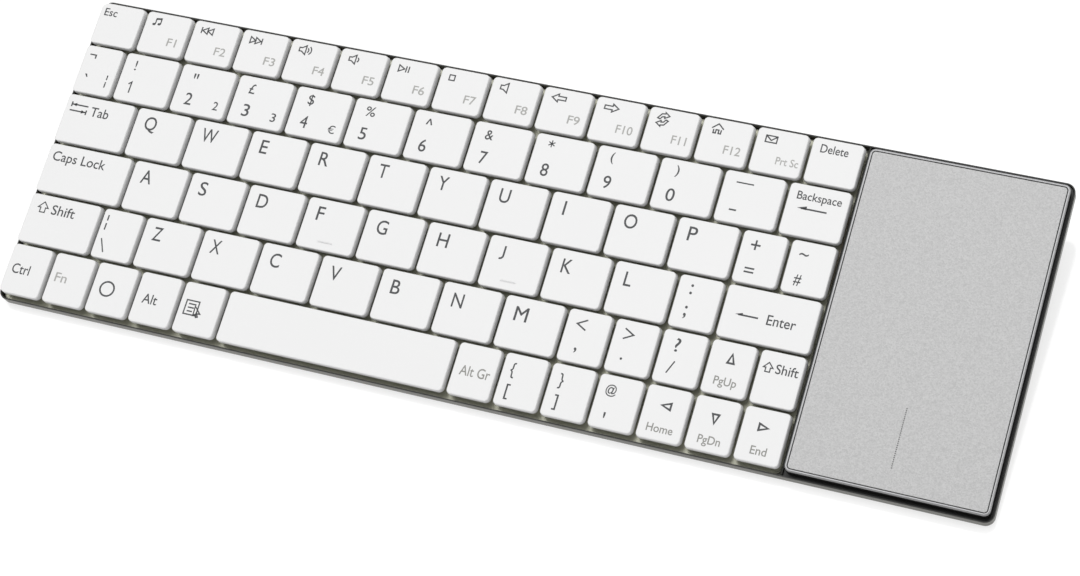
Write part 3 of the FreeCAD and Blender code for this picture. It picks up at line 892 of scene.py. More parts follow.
POINTER = ((0.72, 0.66), (1.2, 0.18), (0.98, 0.16), (1.1, -0.06), (0.98, -0.1), (0.88, 0.1), (0.74, 0))
HOUSE_LEFT = ((0.22, 0.4), (0.22, 0.0), (0.46, 0.0), (0.46, 0.36), (0.6, 0.36))

SIGNS = {
    "notes": Sign(
        open_lines=(((0.36, 0.16), (0.36, 0.93)), ((0.98, 0.24), (0.98, 0.98))),
        fills=(
            bend((0.2, 0.14), (0.2, 0.15), 0, 330, 11),
            bend((0.82, 0.22), (0.2, 0.15), 0, 330, 11),
            ((0.3, 0.7), (1.04, 0.78), (1.04, 1.02), (0.3, 0.92)),
        ),
    ),
    "track_back": Sign(
        open_lines=(((0.06, 0), (0.06, 1)),),
        loops=(((0.2, 0.5), (1.05, 1), (1.05, 0)), ((1.05, 0.5), (1.9, 1), (1.9, 0))),
    ),
    "track_on": Sign(
        open_lines=(((1.9, 0), (1.9, 1)),),
        loops=(((0.9, 0.5), (0.05, 1), (0.05, 0)), ((1.75, 0.5), (0.9, 1), (0.9, 0))),
    ),
    "loud": Sign(open_lines=(WAVE_NEAR, WAVE_FAR), loops=(SPEAKER,)),
    "soft": Sign(open_lines=(WAVE_NEAR,), loops=(SPEAKER,)),
    "mute": Sign(loops=(SPEAKER,)),
    "play_pause": Sign(
        open_lines=(((1.15, 0), (1.15, 1)), ((1.55, 0), (1.55, 1))),
        loops=(((0, 0), (0.9, 0.5), (0, 1)),),
    ),
    "stop": Sign(loops=(((0, 0), (1, 0), (1, 1), (0, 1)),)),
    "back": Sign(loops=(LEFT_ARROW,)),
    "forth": Sign(loops=(flipped(LEFT_ARROW, 1.7),)),
    "refresh": Sign(loops=(CHASING_ARROW, turned(CHASING_ARROW, 0.84))),
    "home": Sign(
        open_lines=(
            ((0.0, 0.48), (0.6, 1.0), (1.2, 0.48)),
            HOUSE_LEFT,
            flipped(HOUSE_LEFT, 1.2),
        ),
    ),
    "letter": Sign(
        open_lines=(((0.0, 0.98), (0.82, 0.32), (1.64, 0.98)),),
        loops=(((0, 0), (1.64, 0), (1.64, 1), (0, 1)),),
    ),
    "tab": Sign(
        open_lines=(
            ((0.05, 0.56), (0.05, 1.0)),
            ((0.1, 0.78), (1.6, 0.78)),
            ((1.55, 0.0), (1.55, 0.44)),
            ((0.0, 0.22), (1.5, 0.22)),
        ),
        fills=(
            ((0.1, 0.78), (0.5, 0.62), (0.5, 0.94)),
            ((1.5, 0.22), (1.1, 0.38), (1.1, 0.06)),
        ),
    ),
    "shift": Sign(loops=(UP_ARROW,)),
    "long_left": Sign(
        open_lines=(((0.8, 0.42), (5.9, 0.42)),),
        fills=(((0.0, 0.42), (1.9, 1.0), (1.9, 0.2)),),
    ),
    "left": Sign(loops=(LEFT_WEDGE,)),
    "right": Sign(loops=(flipped(LEFT_WEDGE, 1.3),)),
    "up": Sign(loops=(UP_WEDGE,)),
    "down": Sign(loops=(turned(UP_WEDGE, 0.72),)),
    "menu": Sign(
        open_lines=(
            ((0.2, 0.76), (0.76, 0.76)),
            ((0.2, 0.5), (0.66, 0.5)),
            ((0.2, 0.24), (0.6, 0.24)),
        ),
        loops=(
            ((0, 0), (0, 1), (0.94, 1), (0.94, 0.62), (0.94, 0)),
            POINTER,
        ),
    ),
    "hook": Sign(
        open_lines=(((0.37, 1.0), (0.37, 0.3)) + bend((0.13, 0.28), (0.24, 0.24), 0, -100, 6),),
    ),
    "less": Sign(open_lines=(((0.95, 1.0), (0.05, 0.5), (0.95, 0.0)),)),
    "more": Sign(open_lines=(((0.05, 1.0), (0.95, 0.5), (0.05, 0.0)),)),
    "star": Sign(
        open_lines=(
            ((0.5, 0.0), (0.5, 1.0)),
            ((0.07, 0.25), (0.93, 0.75)),
            ((0.07, 0.75), (0.93, 0.25)),
        ),
    ),
    "slash": Sign(open_lines=(((0.0, 0.0), (0.43, 1.0)),)),
    "backslash": Sign(open_lines=(((0.0, 1.0), (0.45, 0.0)),)),
    "one": Sign(open_lines=(((0.06, 0.74), (0.3, 0.95), (0.3, 0.0)),)),
    "ring": Sign(loops=(bend((0.5, 0.5), (0.46, 0.46), 0, 345, 23),)),
}


@dataclass(frozen=True)
class Mark:
    """A word or a sign on a key, measured from the back corner of its top."""

    what: str
    x: float
    y: float
    size: float
    hold: Hold = Hold.LEFT
    tone: Tone = Tone.DARK
    drawn: bool = False
    stroke: float = 0.0
    width: float = 0.0


CAPITAL_WIDTHS = dict(
    A=3.4, B=2.75, C=3.2, D=3.4, E=2.4, F=2.25, G=3.35, H=3.35, I=0.62, K=3.0, L=2.2, M=3.95, N=3.3,
    O=3.85, P=2.65, Q=3.9, R=3.0, S=2.5, T=2.9, U=3.2, V=3.2, W=4.95, X=3.1, Y=3.1, Z=2.85,
)
CAPITAL_SIZE = 4.25
HOOK_SIZE, HOOK_STROKE = 4.1, 0.56
DIGIT_SIZE, DIGIT_DOWN, DIGIT_MIDDLE, DIGIT_WIDTH = 3.8, 8.85, 5.0, 2.3
ZERO_WIDTH = 2.6
ONE_MIDDLE, ONE_STROKE = 3.95, 0.44
THIRD_PLACE, THIRD_WIDTH = (2.3, 10.1, 2.65), 1.65
EURO_PLACE, EURO_WIDTH = (2.0, 10.4, 2.35), 2.3
LABEL_SIZE, LABEL_DOWN, LABEL_WIDTH, LABEL_RIGHT = 2.55, 7.5, 3.65, 1.75
LABEL_WIDTHS = {"F1": 3.0, "F10": 5.0, "F11": 4.4, "F12": 5.0}
LABEL_RIGHTS = {"F1": 2.45, "F2": 2.05}


def letters(down: float, **lefts: float) -> tuple[tuple[Mark, ...], ...]:
    """Letter keys side by side; J alone is drawn, as a hook.

    Args:
        down: How far the capitals' tops lie from the back of the keys.
        **lefts: The left edge of each capital.

    Returns:
        The marks of each key.
    """
    keys = []
    for text, left in lefts.items():
        if text in CAPITAL_WIDTHS:
            keys.append(word(text, left, down, CAPITAL_SIZE, CAPITAL_WIDTHS[text]))
        else:
            keys.append(sign("hook", left, down, HOOK_SIZE, HOOK_STROKE))
    return tuple(keys)


def digit(upper: tuple[Mark, ...], lower: str, extra: str = "") -> tuple[Mark, ...]:
    """A number key: the sign above the number, and a third mark at its right.

    Args:
        upper: The marks of the sign.
        lower: The number.
        extra: The third mark, where the key has one.

    Returns:
        All marks of the key.
    """
    place = (DIGIT_DOWN, DIGIT_SIZE, Hold.CENTRE)
    if lower == "1":
        number = Mark("one", ONE_MIDDLE, *place, drawn=True, stroke=ONE_STROKE)
    else:
        number = Mark(lower, DIGIT_MIDDLE, *place, width=ZERO_WIDTH if lower == "0" else DIGIT_WIDTH)
    marks = upper + (number,)
    if extra == "€":
        marks += (Mark(extra, *EURO_PLACE, Hold.RIGHT, width=EURO_WIDTH),)
    elif extra:
        marks += (Mark(extra, *THIRD_PLACE, Hold.RIGHT, width=THIRD_WIDTH),)
    return marks


def action(drawing: str, x: float, y: float, size: float, name: str) -> tuple[Mark, ...]:
    """A function key: its sign at the back left and its pale name at the front right.

    Args:
        drawing: The sign.
        x: How far the sign lies from the left edge.
        y: How far its top lies from the back edge.
        size: The sign's height.
        name: The key's name.

    Returns:
        Both marks.
    """
    right, width = LABEL_RIGHTS.get(name, LABEL_RIGHT), LABEL_WIDTHS.get(name, LABEL_WIDTH)
    label = Mark(name, right, LABEL_DOWN, LABEL_SIZE, Hold.RIGHT, Tone.PALE, width=width)
    return sign(drawing, x, y, size) + (label,)


def word(
    text: str, x: float, y: float, size: float, width: float, tone: Tone = Tone.DARK
) -> tuple[Mark, ...]:
    """A word by its left end, set to a width."""
    return (Mark(text, x, y, size, Hold.LEFT, tone, width=width),)


def sign(name: str, x: float, y: float, size: float, stroke: float = 0.4) -> tuple[Mark, ...]:
    """A drawn sign by its back left corner."""
    return (Mark(name, x, y, size, drawn=True, stroke=stroke),)


def spot(text: str, x: float, y: float, size: float, width: float = 0.0) -> tuple[Mark, ...]:
    """A character by the middle of its ink."""
    return (Mark(text, x, y, size, Hold.MIDDLE, width=width),)


LEGENDS = (
    (
        word("Esc", 1.35, 1.55, 2.45, 4.3),
        action("notes", 2.25, 1.55, 2.7, "F1"),
        action("track_back", 2.45, 1.85, 2.05, "F2"),
        action("track_on", 2.6, 1.95, 2.05, "F3"),
        action("loud", 2.75, 1.5, 2.9, "F4"),
        action("soft", 2.85, 1.5, 2.9, "F5"),
        action("play_pause", 2.75, 1.95, 2.05, "F6"),
        action("stop", 2.7, 2.05, 1.65, "F7"),
        action("mute", 2.7, 1.3, 3.05, "F8"),
        action("back", 2.6, 1.6, 2.5, "F9"),
        action("forth", 2.6, 1.55, 2.5, "F10"),
        action("refresh", 2.5, 1.25, 4.15, "F11"),
        action("home", 2.7, 1.45, 2.95, "F12"),
        sign("letter", 2.6, 2.05, 2.0)
        + (Mark("Prt Sc", 0.8, 7.95, 2.25, Hold.RIGHT, Tone.PALE, width=6.6),),
        word("Delete", 2.45, 1.6, 2.5, 8.1),
    ),
    (
        spot("¬", 2.8, 3.3, 3.1, 2.3) + spot("`", 2.8, 9.75, 4.6) + spot("¦", 9.75, 10.55, 3.0, 0.42),
        digit(spot("!", 3.85, 3.6, 3.1), "1"),
        digit(spot('"', 5.05, 3.25, 4.3), "2", "2"),
        digit(spot("£", 4.85, 3.8, 3.1), "3", "3"),
        digit(spot("$", 5.1, 3.75, 3.1), "4", "€"),
        digit(spot("%", 5.3, 3.6, 3.0, 3.05), "5"),
        digit(spot("^", 4.9, 3.15, 3.3, 2.1), "6"),
        digit(spot("&", 4.85, 3.65, 3.0), "7"),
        digit(sign("star", 3.75, 1.5, 2.2, 0.34), "8"),
        digit(spot("(", 4.6, 3.3, 2.65, 1.1), "9"),
        digit(spot(")", 5.15, 3.4, 2.65, 1.1), "0"),
        spot("—", 6.15, 3.1, 3.6, 5.1) + spot("-", 4.65, 11.5, 3.2, 2.1),
        word("Backspace", 2.45, 2.05, 2.4, 12.9) + sign("long_left", 3.3, 6.25, 1.45, 0.5),
    ),
    (
        sign("tab", 1.5, 2.3, 3.55, 0.46) + word("Tab", 8.5, 2.85, 2.95, 6.0),
        *letters(2.25, Q=3.2, W=3.25, E=3.5, R=3.7, T=3.6, Y=3.35, U=3.45, I=4.0, O=3.35, P=3.35),
        spot("+", 4.05, 3.9, 4.2) + spot("=", 4.1, 11.5, 3.6, 2.8),
        spot("~", 3.95, 3.85, 3.6) + spot("#", 4.0, 11.5, 3.25, 2.1),
    ),
    (
        word("Caps Lock", 1.65, 2.2, 3.0, 17.6),
        *letters(2.3, A=3.15, S=3.3, D=3.2, F=3.5),
        *letters(2.6, G=3.6, H=3.6, J=3.5, K=3.6, L=3.35),
        spot(":", 3.9, 3.85, 4.4) + spot(";", 3.9, 10.75, 4.5),
        sign("long_left", 3.7, 7.5, 1.12, 0.5) + word("Enter", 12.85, 6.5, 2.95, 8.3),
    ),
    (
        sign("shift", 2.85, 2.1, 3.3, 0.36) + word("Shift", 7.45, 2.45, 3.0, 7.75),
        spot("¦", 1.6, 4.25, 3.5, 0.45) + sign("backslash", 1.7, 9.3, 4.15, 0.4),
        *letters(2.38, Z=3.1, X=3.05),
        *letters(2.58, C=3.3, V=3.35),
        *letters(2.74, B=3.6, N=3.5, M=3.5),
        sign("less", 2.9, 2.45, 3.1, 0.46) + spot(",", 4.55, 11.75, 4.2),
        sign("more", 2.7, 2.4, 3.1, 0.46) + spot(".", 4.0, 11.3, 3.9),
        spot("?", 4.55, 4.0, 3.9, 1.45) + sign("slash", 3.4, 8.75, 3.75, 0.4),
        sign("up", 5.3, 3.3, 2.65, 0.58) + word("PgUp", 2.95, 10.2, 2.35, 6.5, Tone.LIGHT),
        sign("shift", 1.35, 3.3, 2.75, 0.36) + word("Shift", 4.9, 3.35, 2.7, 6.5),
    ),
    (
        word("Ctrl", 1.7, 5.95, 3.0, 5.8),
        word("Fn", 1.75, 5.9, 2.85, 3.9, Tone.PALE),
        sign("ring", 2.4, 5.2, 4.8, 0.55),
        word("Alt", 2.35, 6.3, 2.95, 4.75),
        sign("menu", 1.85, 5.4, 4.3, 0.42),
        (),
        word("Alt Gr", 2.0, 6.4, 2.9, 9.1, Tone.LIGHT),
        spot("{", 2.95, 4.85, 3.35) + spot("[", 3.1, 11.2, 3.45),
        spot("}", 3.4, 4.8, 3.35) + spot("]", 3.4, 11.1, 3.45),
        spot("@", 3.95, 4.35, 2.55, 3.2) + spot("'", 4.0, 11.6, 4.4),
        sign("left", 5.0, 4.25, 1.95, 0.58) + word("Home", 2.35, 10.75, 2.3, 7.6, Tone.LIGHT),
        sign("down", 5.4, 4.5, 2.65, 0.58) + word("PgDn", 3.1, 10.85, 2.35, 6.45, Tone.LIGHT),
        sign("right", 4.7, 4.25, 1.95, 0.58) + word("End", 4.0, 10.7, 2.35, 4.6, Tone.LIGHT),
    ),
)


@dataclass
class Printer:
    """Makes thin raised ink for words and signs."""

    cap_height: float = 0.686
    narrow: float = 0.93
    bolder: float = 0.035
    rise: float = 0.012
    sink: float = 0.02
    weld: float = 1e-5
    mitre_limit: float = 0.35
    known: dict[tuple[str, float], Shell] = field(default_factory=dict)

    def text(self, words: str, size: float) -> Shell:
        """Words as closed slabs, one unit of capital height, from their left end.

        Args:
            words: The characters to set.
            size: The capital height they are meant for, which their weight depends on.

        Returns:
            A shell whose z is below nothing for the back and above it for the front.
        """
        if (words, size) in self.known:
            return self.known[words, size]
        curve = bpy.data.curves.new("words", "FONT")
        curve.body = words
        curve.size = 1 / self.cap_height
        curve.extrude = 0.5
        curve.resolution_u = 4
        holder = placed("words", curve)
        bpy.context.view_layer.update()
        graph = bpy.context.evaluated_depsgraph_get()
        mesh = bpy.data.meshes.new_from_object(holder.evaluated_get(graph))
        work = bmesh.new()
        work.from_mesh(mesh)
        bmesh.ops.remove_doubles(work, verts=work.verts, dist=self.weld)
        bmesh.ops.recalc_face_normals(work, faces=work.faces)
        self.embolden(work, self.bolder / size)
        work.to_mesh(mesh)
        work.free()
        points = vertices(mesh)
        points[:, 0] -= points[:, 0].min()
        faces = [list(polygon.vertices) for polygon in mesh.polygons]
        bpy.data.objects.remove(holder)
        bpy.data.curves.remove(curve)
        bpy.data.meshes.remove(mesh)
        self.known[words, size] = Shell(points, faces)
        return self.known[words, size]

    def embolden(self, work: bmesh.types.BMesh, reach: float) -> None:
        """Move a slab's outline outwards, with mitred corners.

        The normals of the two upright faces at a corner are added; twice that
        over its squared length is the mitre.

        Args:
            work: The slab, with its flat faces across z.
            reach: How far the outline moves.
        """
        moves = []
        for corner in work.verts:
            upright = [face.normal for face in corner.link_faces if abs(face.normal.z) < 0.5]
            push = sum(upright, Vector())
            moves.append(push * 2 * reach / max(push.length_squared, 1.0))
        for corner, move in zip(work.verts, moves, strict=True):
            corner.co += move

    def ribbon(self, line: Sequence[Point], width: float, closed: bool) -> Shell:
        """A line drawn out to a flat strip with mitred corners.

        At each point the two neighbouring unit normals are added and divided
        by one plus their dot product; half the width times that gives the two
        sides. The strip's section runs left top, right top, right bottom and
        left bottom.

        Args:
            line: The points of the line, in millimetres.
            width: The strip's width.
            closed: True for a loop.

        Returns:
            A closed strip, one unit thick about z = 0.
        """
        points = np.array(line, float)
        after = np.roll(points, -1, 0) - points
        if not closed:
            after[-1] = after[-2]
        after /= np.linalg.norm(after, axis=1, keepdims=True)
        before = np.roll(after, 1, 0)
        if not closed:
            before[0] = after[0]
        left_after = np.column_stack([-after[:, 1], after[:, 0]])
        left_before = np.column_stack([-before[:, 1], before[:, 0]])
        share = 1 + (left_after * left_before).sum(1, keepdims=True)
        mitre = (left_after + left_before) / np.maximum(share, self.mitre_limit)
        left = points + mitre * width / 2
        right = points - mitre * width / 2
        up = np.full((len(points), 1), 0.5)
        edges = ((left, up), (right, up), (right, -up), (left, -up))
        rings = np.stack([np.hstack(edge) for edge in edges], 1)
        return swept(rings, closed)

    def plate(self, shape: Sequence[Point]) -> Shell:
        """A filled shape as a closed slab.

        Args:
            shape: The outline, either way round.

        Returns:
            The slab, one unit thick about z = 0.
        """
        points = np.array(shape, float)
        turn = np.roll(points, -1, 0)
        if (points[:, 0] * turn[:, 1] - turn[:, 0] * points[:, 1]).sum() < 0:
            points = points[::-1]
        return slab(points, -0.5, 0.5)

    def sign(self, mark: Mark) -> Shell:
        """A drawn sign at its size.

        Args:
            mark: The sign, with its size and its stroke.

        Returns:
            Its shell, with the front left corner at nothing.
        """
        drawing = SIGNS[mark.what]
        size = mark.size
        lines = [(line, False) for line in drawing.open_lines] + [(loop, True) for loop in drawing.loops]
        parts = [self.ribbon(grown(line, size), mark.stroke, closed) for line, closed in lines]
        parts += [self.plate(grown(shape, size)) for shape in drawing.fills]
        return Shell.joined(parts)

    def mark(self, mark: Mark, left: float, right: float, back: float, top: float) -> Shell:
        """A mark in its place on a key.

        Args:
            mark: What is printed, and where.
            left: The left edge of the key's top.
            right: The right edge of the key's top.
            back: The back edge of the key's top.
            top: The height of the key's top.

        Returns:
            The ink's shell on the deck.
        """
        shell = self.sign(mark) if mark.drawn else self.text(mark.what, mark.size)
        points = shell.points
        if not mark.drawn:
            across = mark.width / np.ptp(points[:, 0]) if mark.width else mark.size * self.narrow
            points = points * (across, mark.size, 1)
        low, high = points.min(0), points.max(0)
        middle = (low + high) / 2
        x, y = left + mark.x, back - mark.y - mark.size
        if mark.hold is Hold.RIGHT:
            x = right - mark.x - high[0]
        elif mark.hold is not Hold.LEFT:
            x -= middle[0]
        if mark.hold is Hold.MIDDLE:
            y = back - mark.y - middle[1]
        z = np.where(points[:, 2] > 0, top + self.rise, top - self.sink)
        return Shell(np.column_stack([points[:, :2] + (x, y), z]), shell.faces)


# The keys

SPAN_GAP = 0.1
SLACK = 0.01


@dataclass(frozen=True)
class Cap:
    """One keycap's foot on the deck, and the node that it belongs to."""

    node: str
    x0: float
    x1: float
    y0: float
    y1: float

    def middle(self) -> np.ndarray:
        """The middle of its foot."""
        return np.array([(self.x0 + self.x1) / 2, (self.y0 + self.y1) / 2])


def merged_spans(starts: np.ndarray, ends: np.ndarray) -> list[tuple[float, float]]:
    """Intervals joined where they touch.

    Sorted by start, a new span begins where a start lies more than the span
    gap beyond the furthest end so far.

    Args:
        starts: Where each interval starts.
        ends: Where each interval ends.

    Returns:
        The joined spans in order.
    """
    order = np.argsort(starts)
    starts, reach = starts[order], np.maximum.accumulate(ends[order])
    breaks = np.flatnonzero(starts[1:] > reach[:-1] + SPAN_GAP)
    first = np.r_[0, breaks + 1]
    last = np.r_[breaks, len(starts) - 1]
    return list(zip(starts[first].tolist(), reach[last].tolist()))


@dataclass
class KeyBank:
    """The caps with their print, and the dome and links under each."""

    shop: Workshop
    printer: Printer
    corner: float = 1.6
    case_corner: float = 2.4
    wall: float = 0.9
    roof: float = 1.0
    draft: float = 0.38
    draft_end: float = 0.3
    foot_inside: tuple[Point, Point] = ((0.0, 0.1), (-0.08, 0.0))
    foot_outside: tuple[Point, Point] = ((0.1, 0.0), (0.02, 0.08))
    shoulder: float = 0.005
    crown: float = 0.5
    edge: float = 0.36
    lean: float = 0.5
    clip_length: float = 8.0
    clip_reach: float = 4.85
    clip_width: float = 0.6
    clip_depth: float = 0.8
    clip_root: float = 0.2
    bar: Triple = (4.7, 0.5, 0.2)
    bar_inset: float = 2.25
    bar_corner: float = 0.24
    bar_edge: float = 0.17
    bar_root: float = 0.1
    smooth: float = 40.0
    travel: float = 2.0
    squash_room: float = 0.01
    foot: float = 0.0
    top: float = 0.0
    caps: list[list[Cap]] = field(default_factory=list)

    def key_nodes(self) -> list[str]:
        """The nodes that are keys: the bodies that a press joint carries."""
        return [j["child"] for j in frame["joints"] if j["name"].endswith("_press")]

    def find(self) -> None:
        """Split the key nodes into caps and sort them into rows from the back."""
        found = []
        for node in self.key_nodes():
            corners = self.shop.deck.triangles(node)
            low, high = corners.min(1), corners.max(1)
            for y0, y1 in merged_spans(low[:, 1], high[:, 1]):
                inside = (low[:, 1] >= y0 - SLACK) & (high[:, 1] <= y1 + SLACK)
                for x0, x1 in merged_spans(low[inside, 0], high[inside, 0]):
                    found.append(Cap(node, x0, x1, y0, y1))
        fronts, backs = np.array([(cap.y0, cap.y1) for cap in found]).T
        for y0, y1 in reversed(merged_spans(fronts, backs)):
            row = [cap for cap in found if y0 - SLACK <= cap.y0 <= y1]
            self.caps.append(sorted(row, key=lambda cap: cap.x0))
        low, high = self.shop.deck.box("enter_key")
        self.foot, self.top = low[2], high[2]

    def plan(self, row: int, place: int, cap: Cap) -> Plan:
        """The cap's outline, rounder at the two corners of the case.

        Args:
            row: The cap's row, counted from the back.
            place: Its place in the row, counted from the left.
            cap: The cap.

        Returns:
            The outline of its foot.
        """
        front_left = self.case_corner if (row, place) == (len(self.caps) - 1, 0) else self.corner
        back_left = self.case_corner if (row, place) == (0, 0) else self.corner
        radii = (front_left, self.corner, self.corner, back_left)
        return Plan(cap.x0, cap.x1, cap.y0, cap.y1, radii)

    def cap_shell(self, plan: Plan, cap: Cap) -> Shell:
        """A hollow cap: down inside from the roof to the foot, then up and over the round edge.

        Each point of the front half moves forwards by the lean times its share of the
        height, so the front wall is the steepest.

        Args:
            plan: The outline of its foot.
            cap: The cap.

        Returns:
            The cap with its clips, and with the finger bar on F and J.
        """
        slope = self.draft / (self.top - self.foot - self.draft_end)
        shoulder = slope * (self.top - self.edge - self.foot) + self.shoulder
        under = self.top - self.roof
        levels = [(self.wall + EDGE_STEP, under), (self.wall, under)]
        levels += [(self.wall + inset, self.foot + rise) for inset, rise in self.foot_inside]
        levels += [(inset, self.foot + rise) for inset, rise in self.foot_outside]
        skin = plan.skin(levels + rounded_edge(shoulder, self.top, self.edge))
        x, y = cap.middle()
        front = skin.points[:, 1] < y
        height = skin.points[front, 2] - self.foot
        skin.points[front, 1] -= self.lean * height / (self.top - self.foot)
        parts = [skin]
        for side in (-1, 1):
            ends = sorted((y + side * self.clip_reach, y + side * (self.clip_reach + self.clip_width)))
            low = (x - self.clip_length / 2, ends[0], under - self.clip_depth)
            high = (x + self.clip_length / 2, ends[1], under + self.clip_root)
            parts.append(block(low, high))
        if cap.node in ("key_f", "key_j"):
            length, width, height = self.bar
            front = cap.y0 + self.bar_inset
            low, high = (x - length / 2, front), (x + length / 2, front + width)
            ridge = Plan.over(low, high, self.bar_corner, 4)
            crest = rounded_edge(0.0, self.top + height, self.bar_edge, 4)
            parts.append(ridge.skin([(0, self.top - self.bar_root)] + crest))
        return Shell.joined(parts)

    def build_caps(self) -> None:
        """One piece of caps and up to two of ink for each key node."""
        caps: dict[str, list[Shell]] = {}
        inks: dict[tuple[str, Tone], list[Shell]] = {}
        for row, (keys, legends) in enumerate(zip(self.caps, LEGENDS, strict=True)):
            for place, (cap, marks) in enumerate(zip(keys, legends, strict=True)):
                plan = self.plan(row, place, cap)
                caps.setdefault(cap.node, []).append(self.cap_shell(plan, cap))
                left, right, back = cap.x0 + self.crown, cap.x1 - self.crown, cap.y1 - self.crown
                for mark in marks:
                    ink = self.printer.mark(mark, left, right, back, self.top)
                    inks.setdefault((cap.node, mark.tone), []).append(ink)
        # White with painted shade on the cap walls.
        white = "key_white"
        for node, shells in caps.items():
            whole = Shell.joined(shells)
            self.shop.piece(f"{node}_cap", whole, node, white, white, self.smooth, [node])
        for (node, tone), shells in inks.items():
            self.shop.piece(f"{node}_{tone.value}", Shell.joined(shells), node, tone.value)

    def build_springs(self) -> None:
        """The dome and the crossed links of each key, as pieces of their own on the base."""
        caps = [cap for row in self.caps for cap in row]
        deck = self.shop.deck
        film = deck.box("rubber_domes")[0][2]
        room = self.top - self.roof - film
        keep = (room - self.travel) / room - self.squash_room
        anchor = tuple(deck.to_row(np.array([[0.0, 0.0, film]]))[0])
        kinds = (("rubber_domes", "dome", "dome_rubber"), ("scissor_links", "links", "link_plastic"))
        for source, part, finish in kinds:
            triangles = deck.triangles(source)
            nearest = self.owner(triangles.mean(1)[:, :2], caps)
            stands_for = [source]
            for node in self.key_nodes():
                mine = np.isin(nearest, [i for i, cap in enumerate(caps) if cap.node == node])
                shell = Shell.of_triangles(triangles[mine])
                name = f"{node}_{part}"
                made = self.shop.piece(name, shell, "base", finish, finish, self.smooth, stands_for)
                stands_for = []
                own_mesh(made)
        log.info("springs set under %d caps", len(caps))

    def owner(self, centres: np.ndarray, caps: list[Cap]) -> np.ndarray:
        """The number of the cap whose foot each point lies under.

        A point's distance to a foot is how far it lies outside its box; the
        nearest foot wins.

        Args:
            centres: Points on the deck.
            caps: All caps.

        Returns:
            One cap number a point.
        """
        low = np.array([(cap.x0, cap.y0) for cap in caps])[None]
        high = np.array([(cap.x1, cap.y1) for cap in caps])[None]
        spread = np.maximum(low - centres[:, None], centres[:, None] - high)
        return np.maximum(spread, 0).sum(2).argmin(1)

    def build(self) -> None:
        """Find the caps, then make them and what is under them."""
        self.find()
        self.build_caps()
        self.build_springs()


# The touchpad


@dataclass
class Touchpad:
    """The silver plate with its dotted line, and the bright ring round it.

    Each point of the ring's rounds is a distance from its edge and a drop from its top.
    """

    shop: Workshop
    corner: float = 1.8
    ring_width: float = 0.7
    ring_outside: tuple[Point, ...] = ((0.0, 0.3), (0.03, 0.2), (0.1, 0.1), (0.2, 0.03), (0.3, 0.0))
    ring_inside: tuple[Point, ...] = ((0.12, 0.0), (0.04, 0.03), (0.0, 0.1))
    plate_edge: float = 0.1
    smooth: float = 50.0
    dots: int = 30
    dot_sides: int = 10
    dot_radius: float = 0.18
    dot_front: float = -41.1
    dot_back: float = -24.0
    dot_sink: float = 0.05
    dot_rise: float = 0.015

    def build(self) -> None:
        """The ring, the plate and the dots."""
        deck = self.shop.deck
        low, high = deck.box("touchpad_bezel")
        outer = Plan.over(low, high, self.corner)
        foot, top = low[2], high[2]
        levels = [(0.0, foot)] + [(inset, top - drop) for inset, drop in self.ring_outside]
        levels += [(self.ring_width - inset, top - drop) for inset, drop in self.ring_inside]
        ring = outer.skin(levels + [(self.ring_width, foot)], True)
        trim, silver = "trim_silver", "touchpad_silver"
        self.shop.piece("touchpad_ring", ring, "base", trim, trim, self.smooth, ["touchpad_bezel"])
        low, high = deck.box("touchpad_plate")
        plate = Plan.over(low, high, self.corner - (low[0] - outer.x0))
        face = plate.skin([(0.0, low[2])] + rounded_edge(0.0, high[2], self.plate_edge, 4))
        plates = ["touchpad_plate"]
        self.shop.piece("touchpad_surface", face, "touchpad", silver, silver, self.smooth, plates)
        self.dotted_line((low[0] + high[0]) / 2, high[2])

    def dotted_line(self, x: float, top: float) -> None:
        """The line of small round dots that parts the two click zones.

        Args:
            x: Where the line lies across the plate.
            top: The height of the plate's face.
        """
        angles = np.linspace(0, 2 * math.pi, self.dot_sides + 1)[:-1]
        circle = np.column_stack([np.cos(angles), np.sin(angles)]) * self.dot_radius
        places = np.linspace(self.dot_front, self.dot_back, self.dots)
        low, high = top - self.dot_sink, top + self.dot_rise
        shells = [slab(circle + (x, y), low, high) for y in places]
        self.shop.piece("touchpad_dots", Shell.joined(shells), "touchpad", "dot_dark")


# The rest of the case


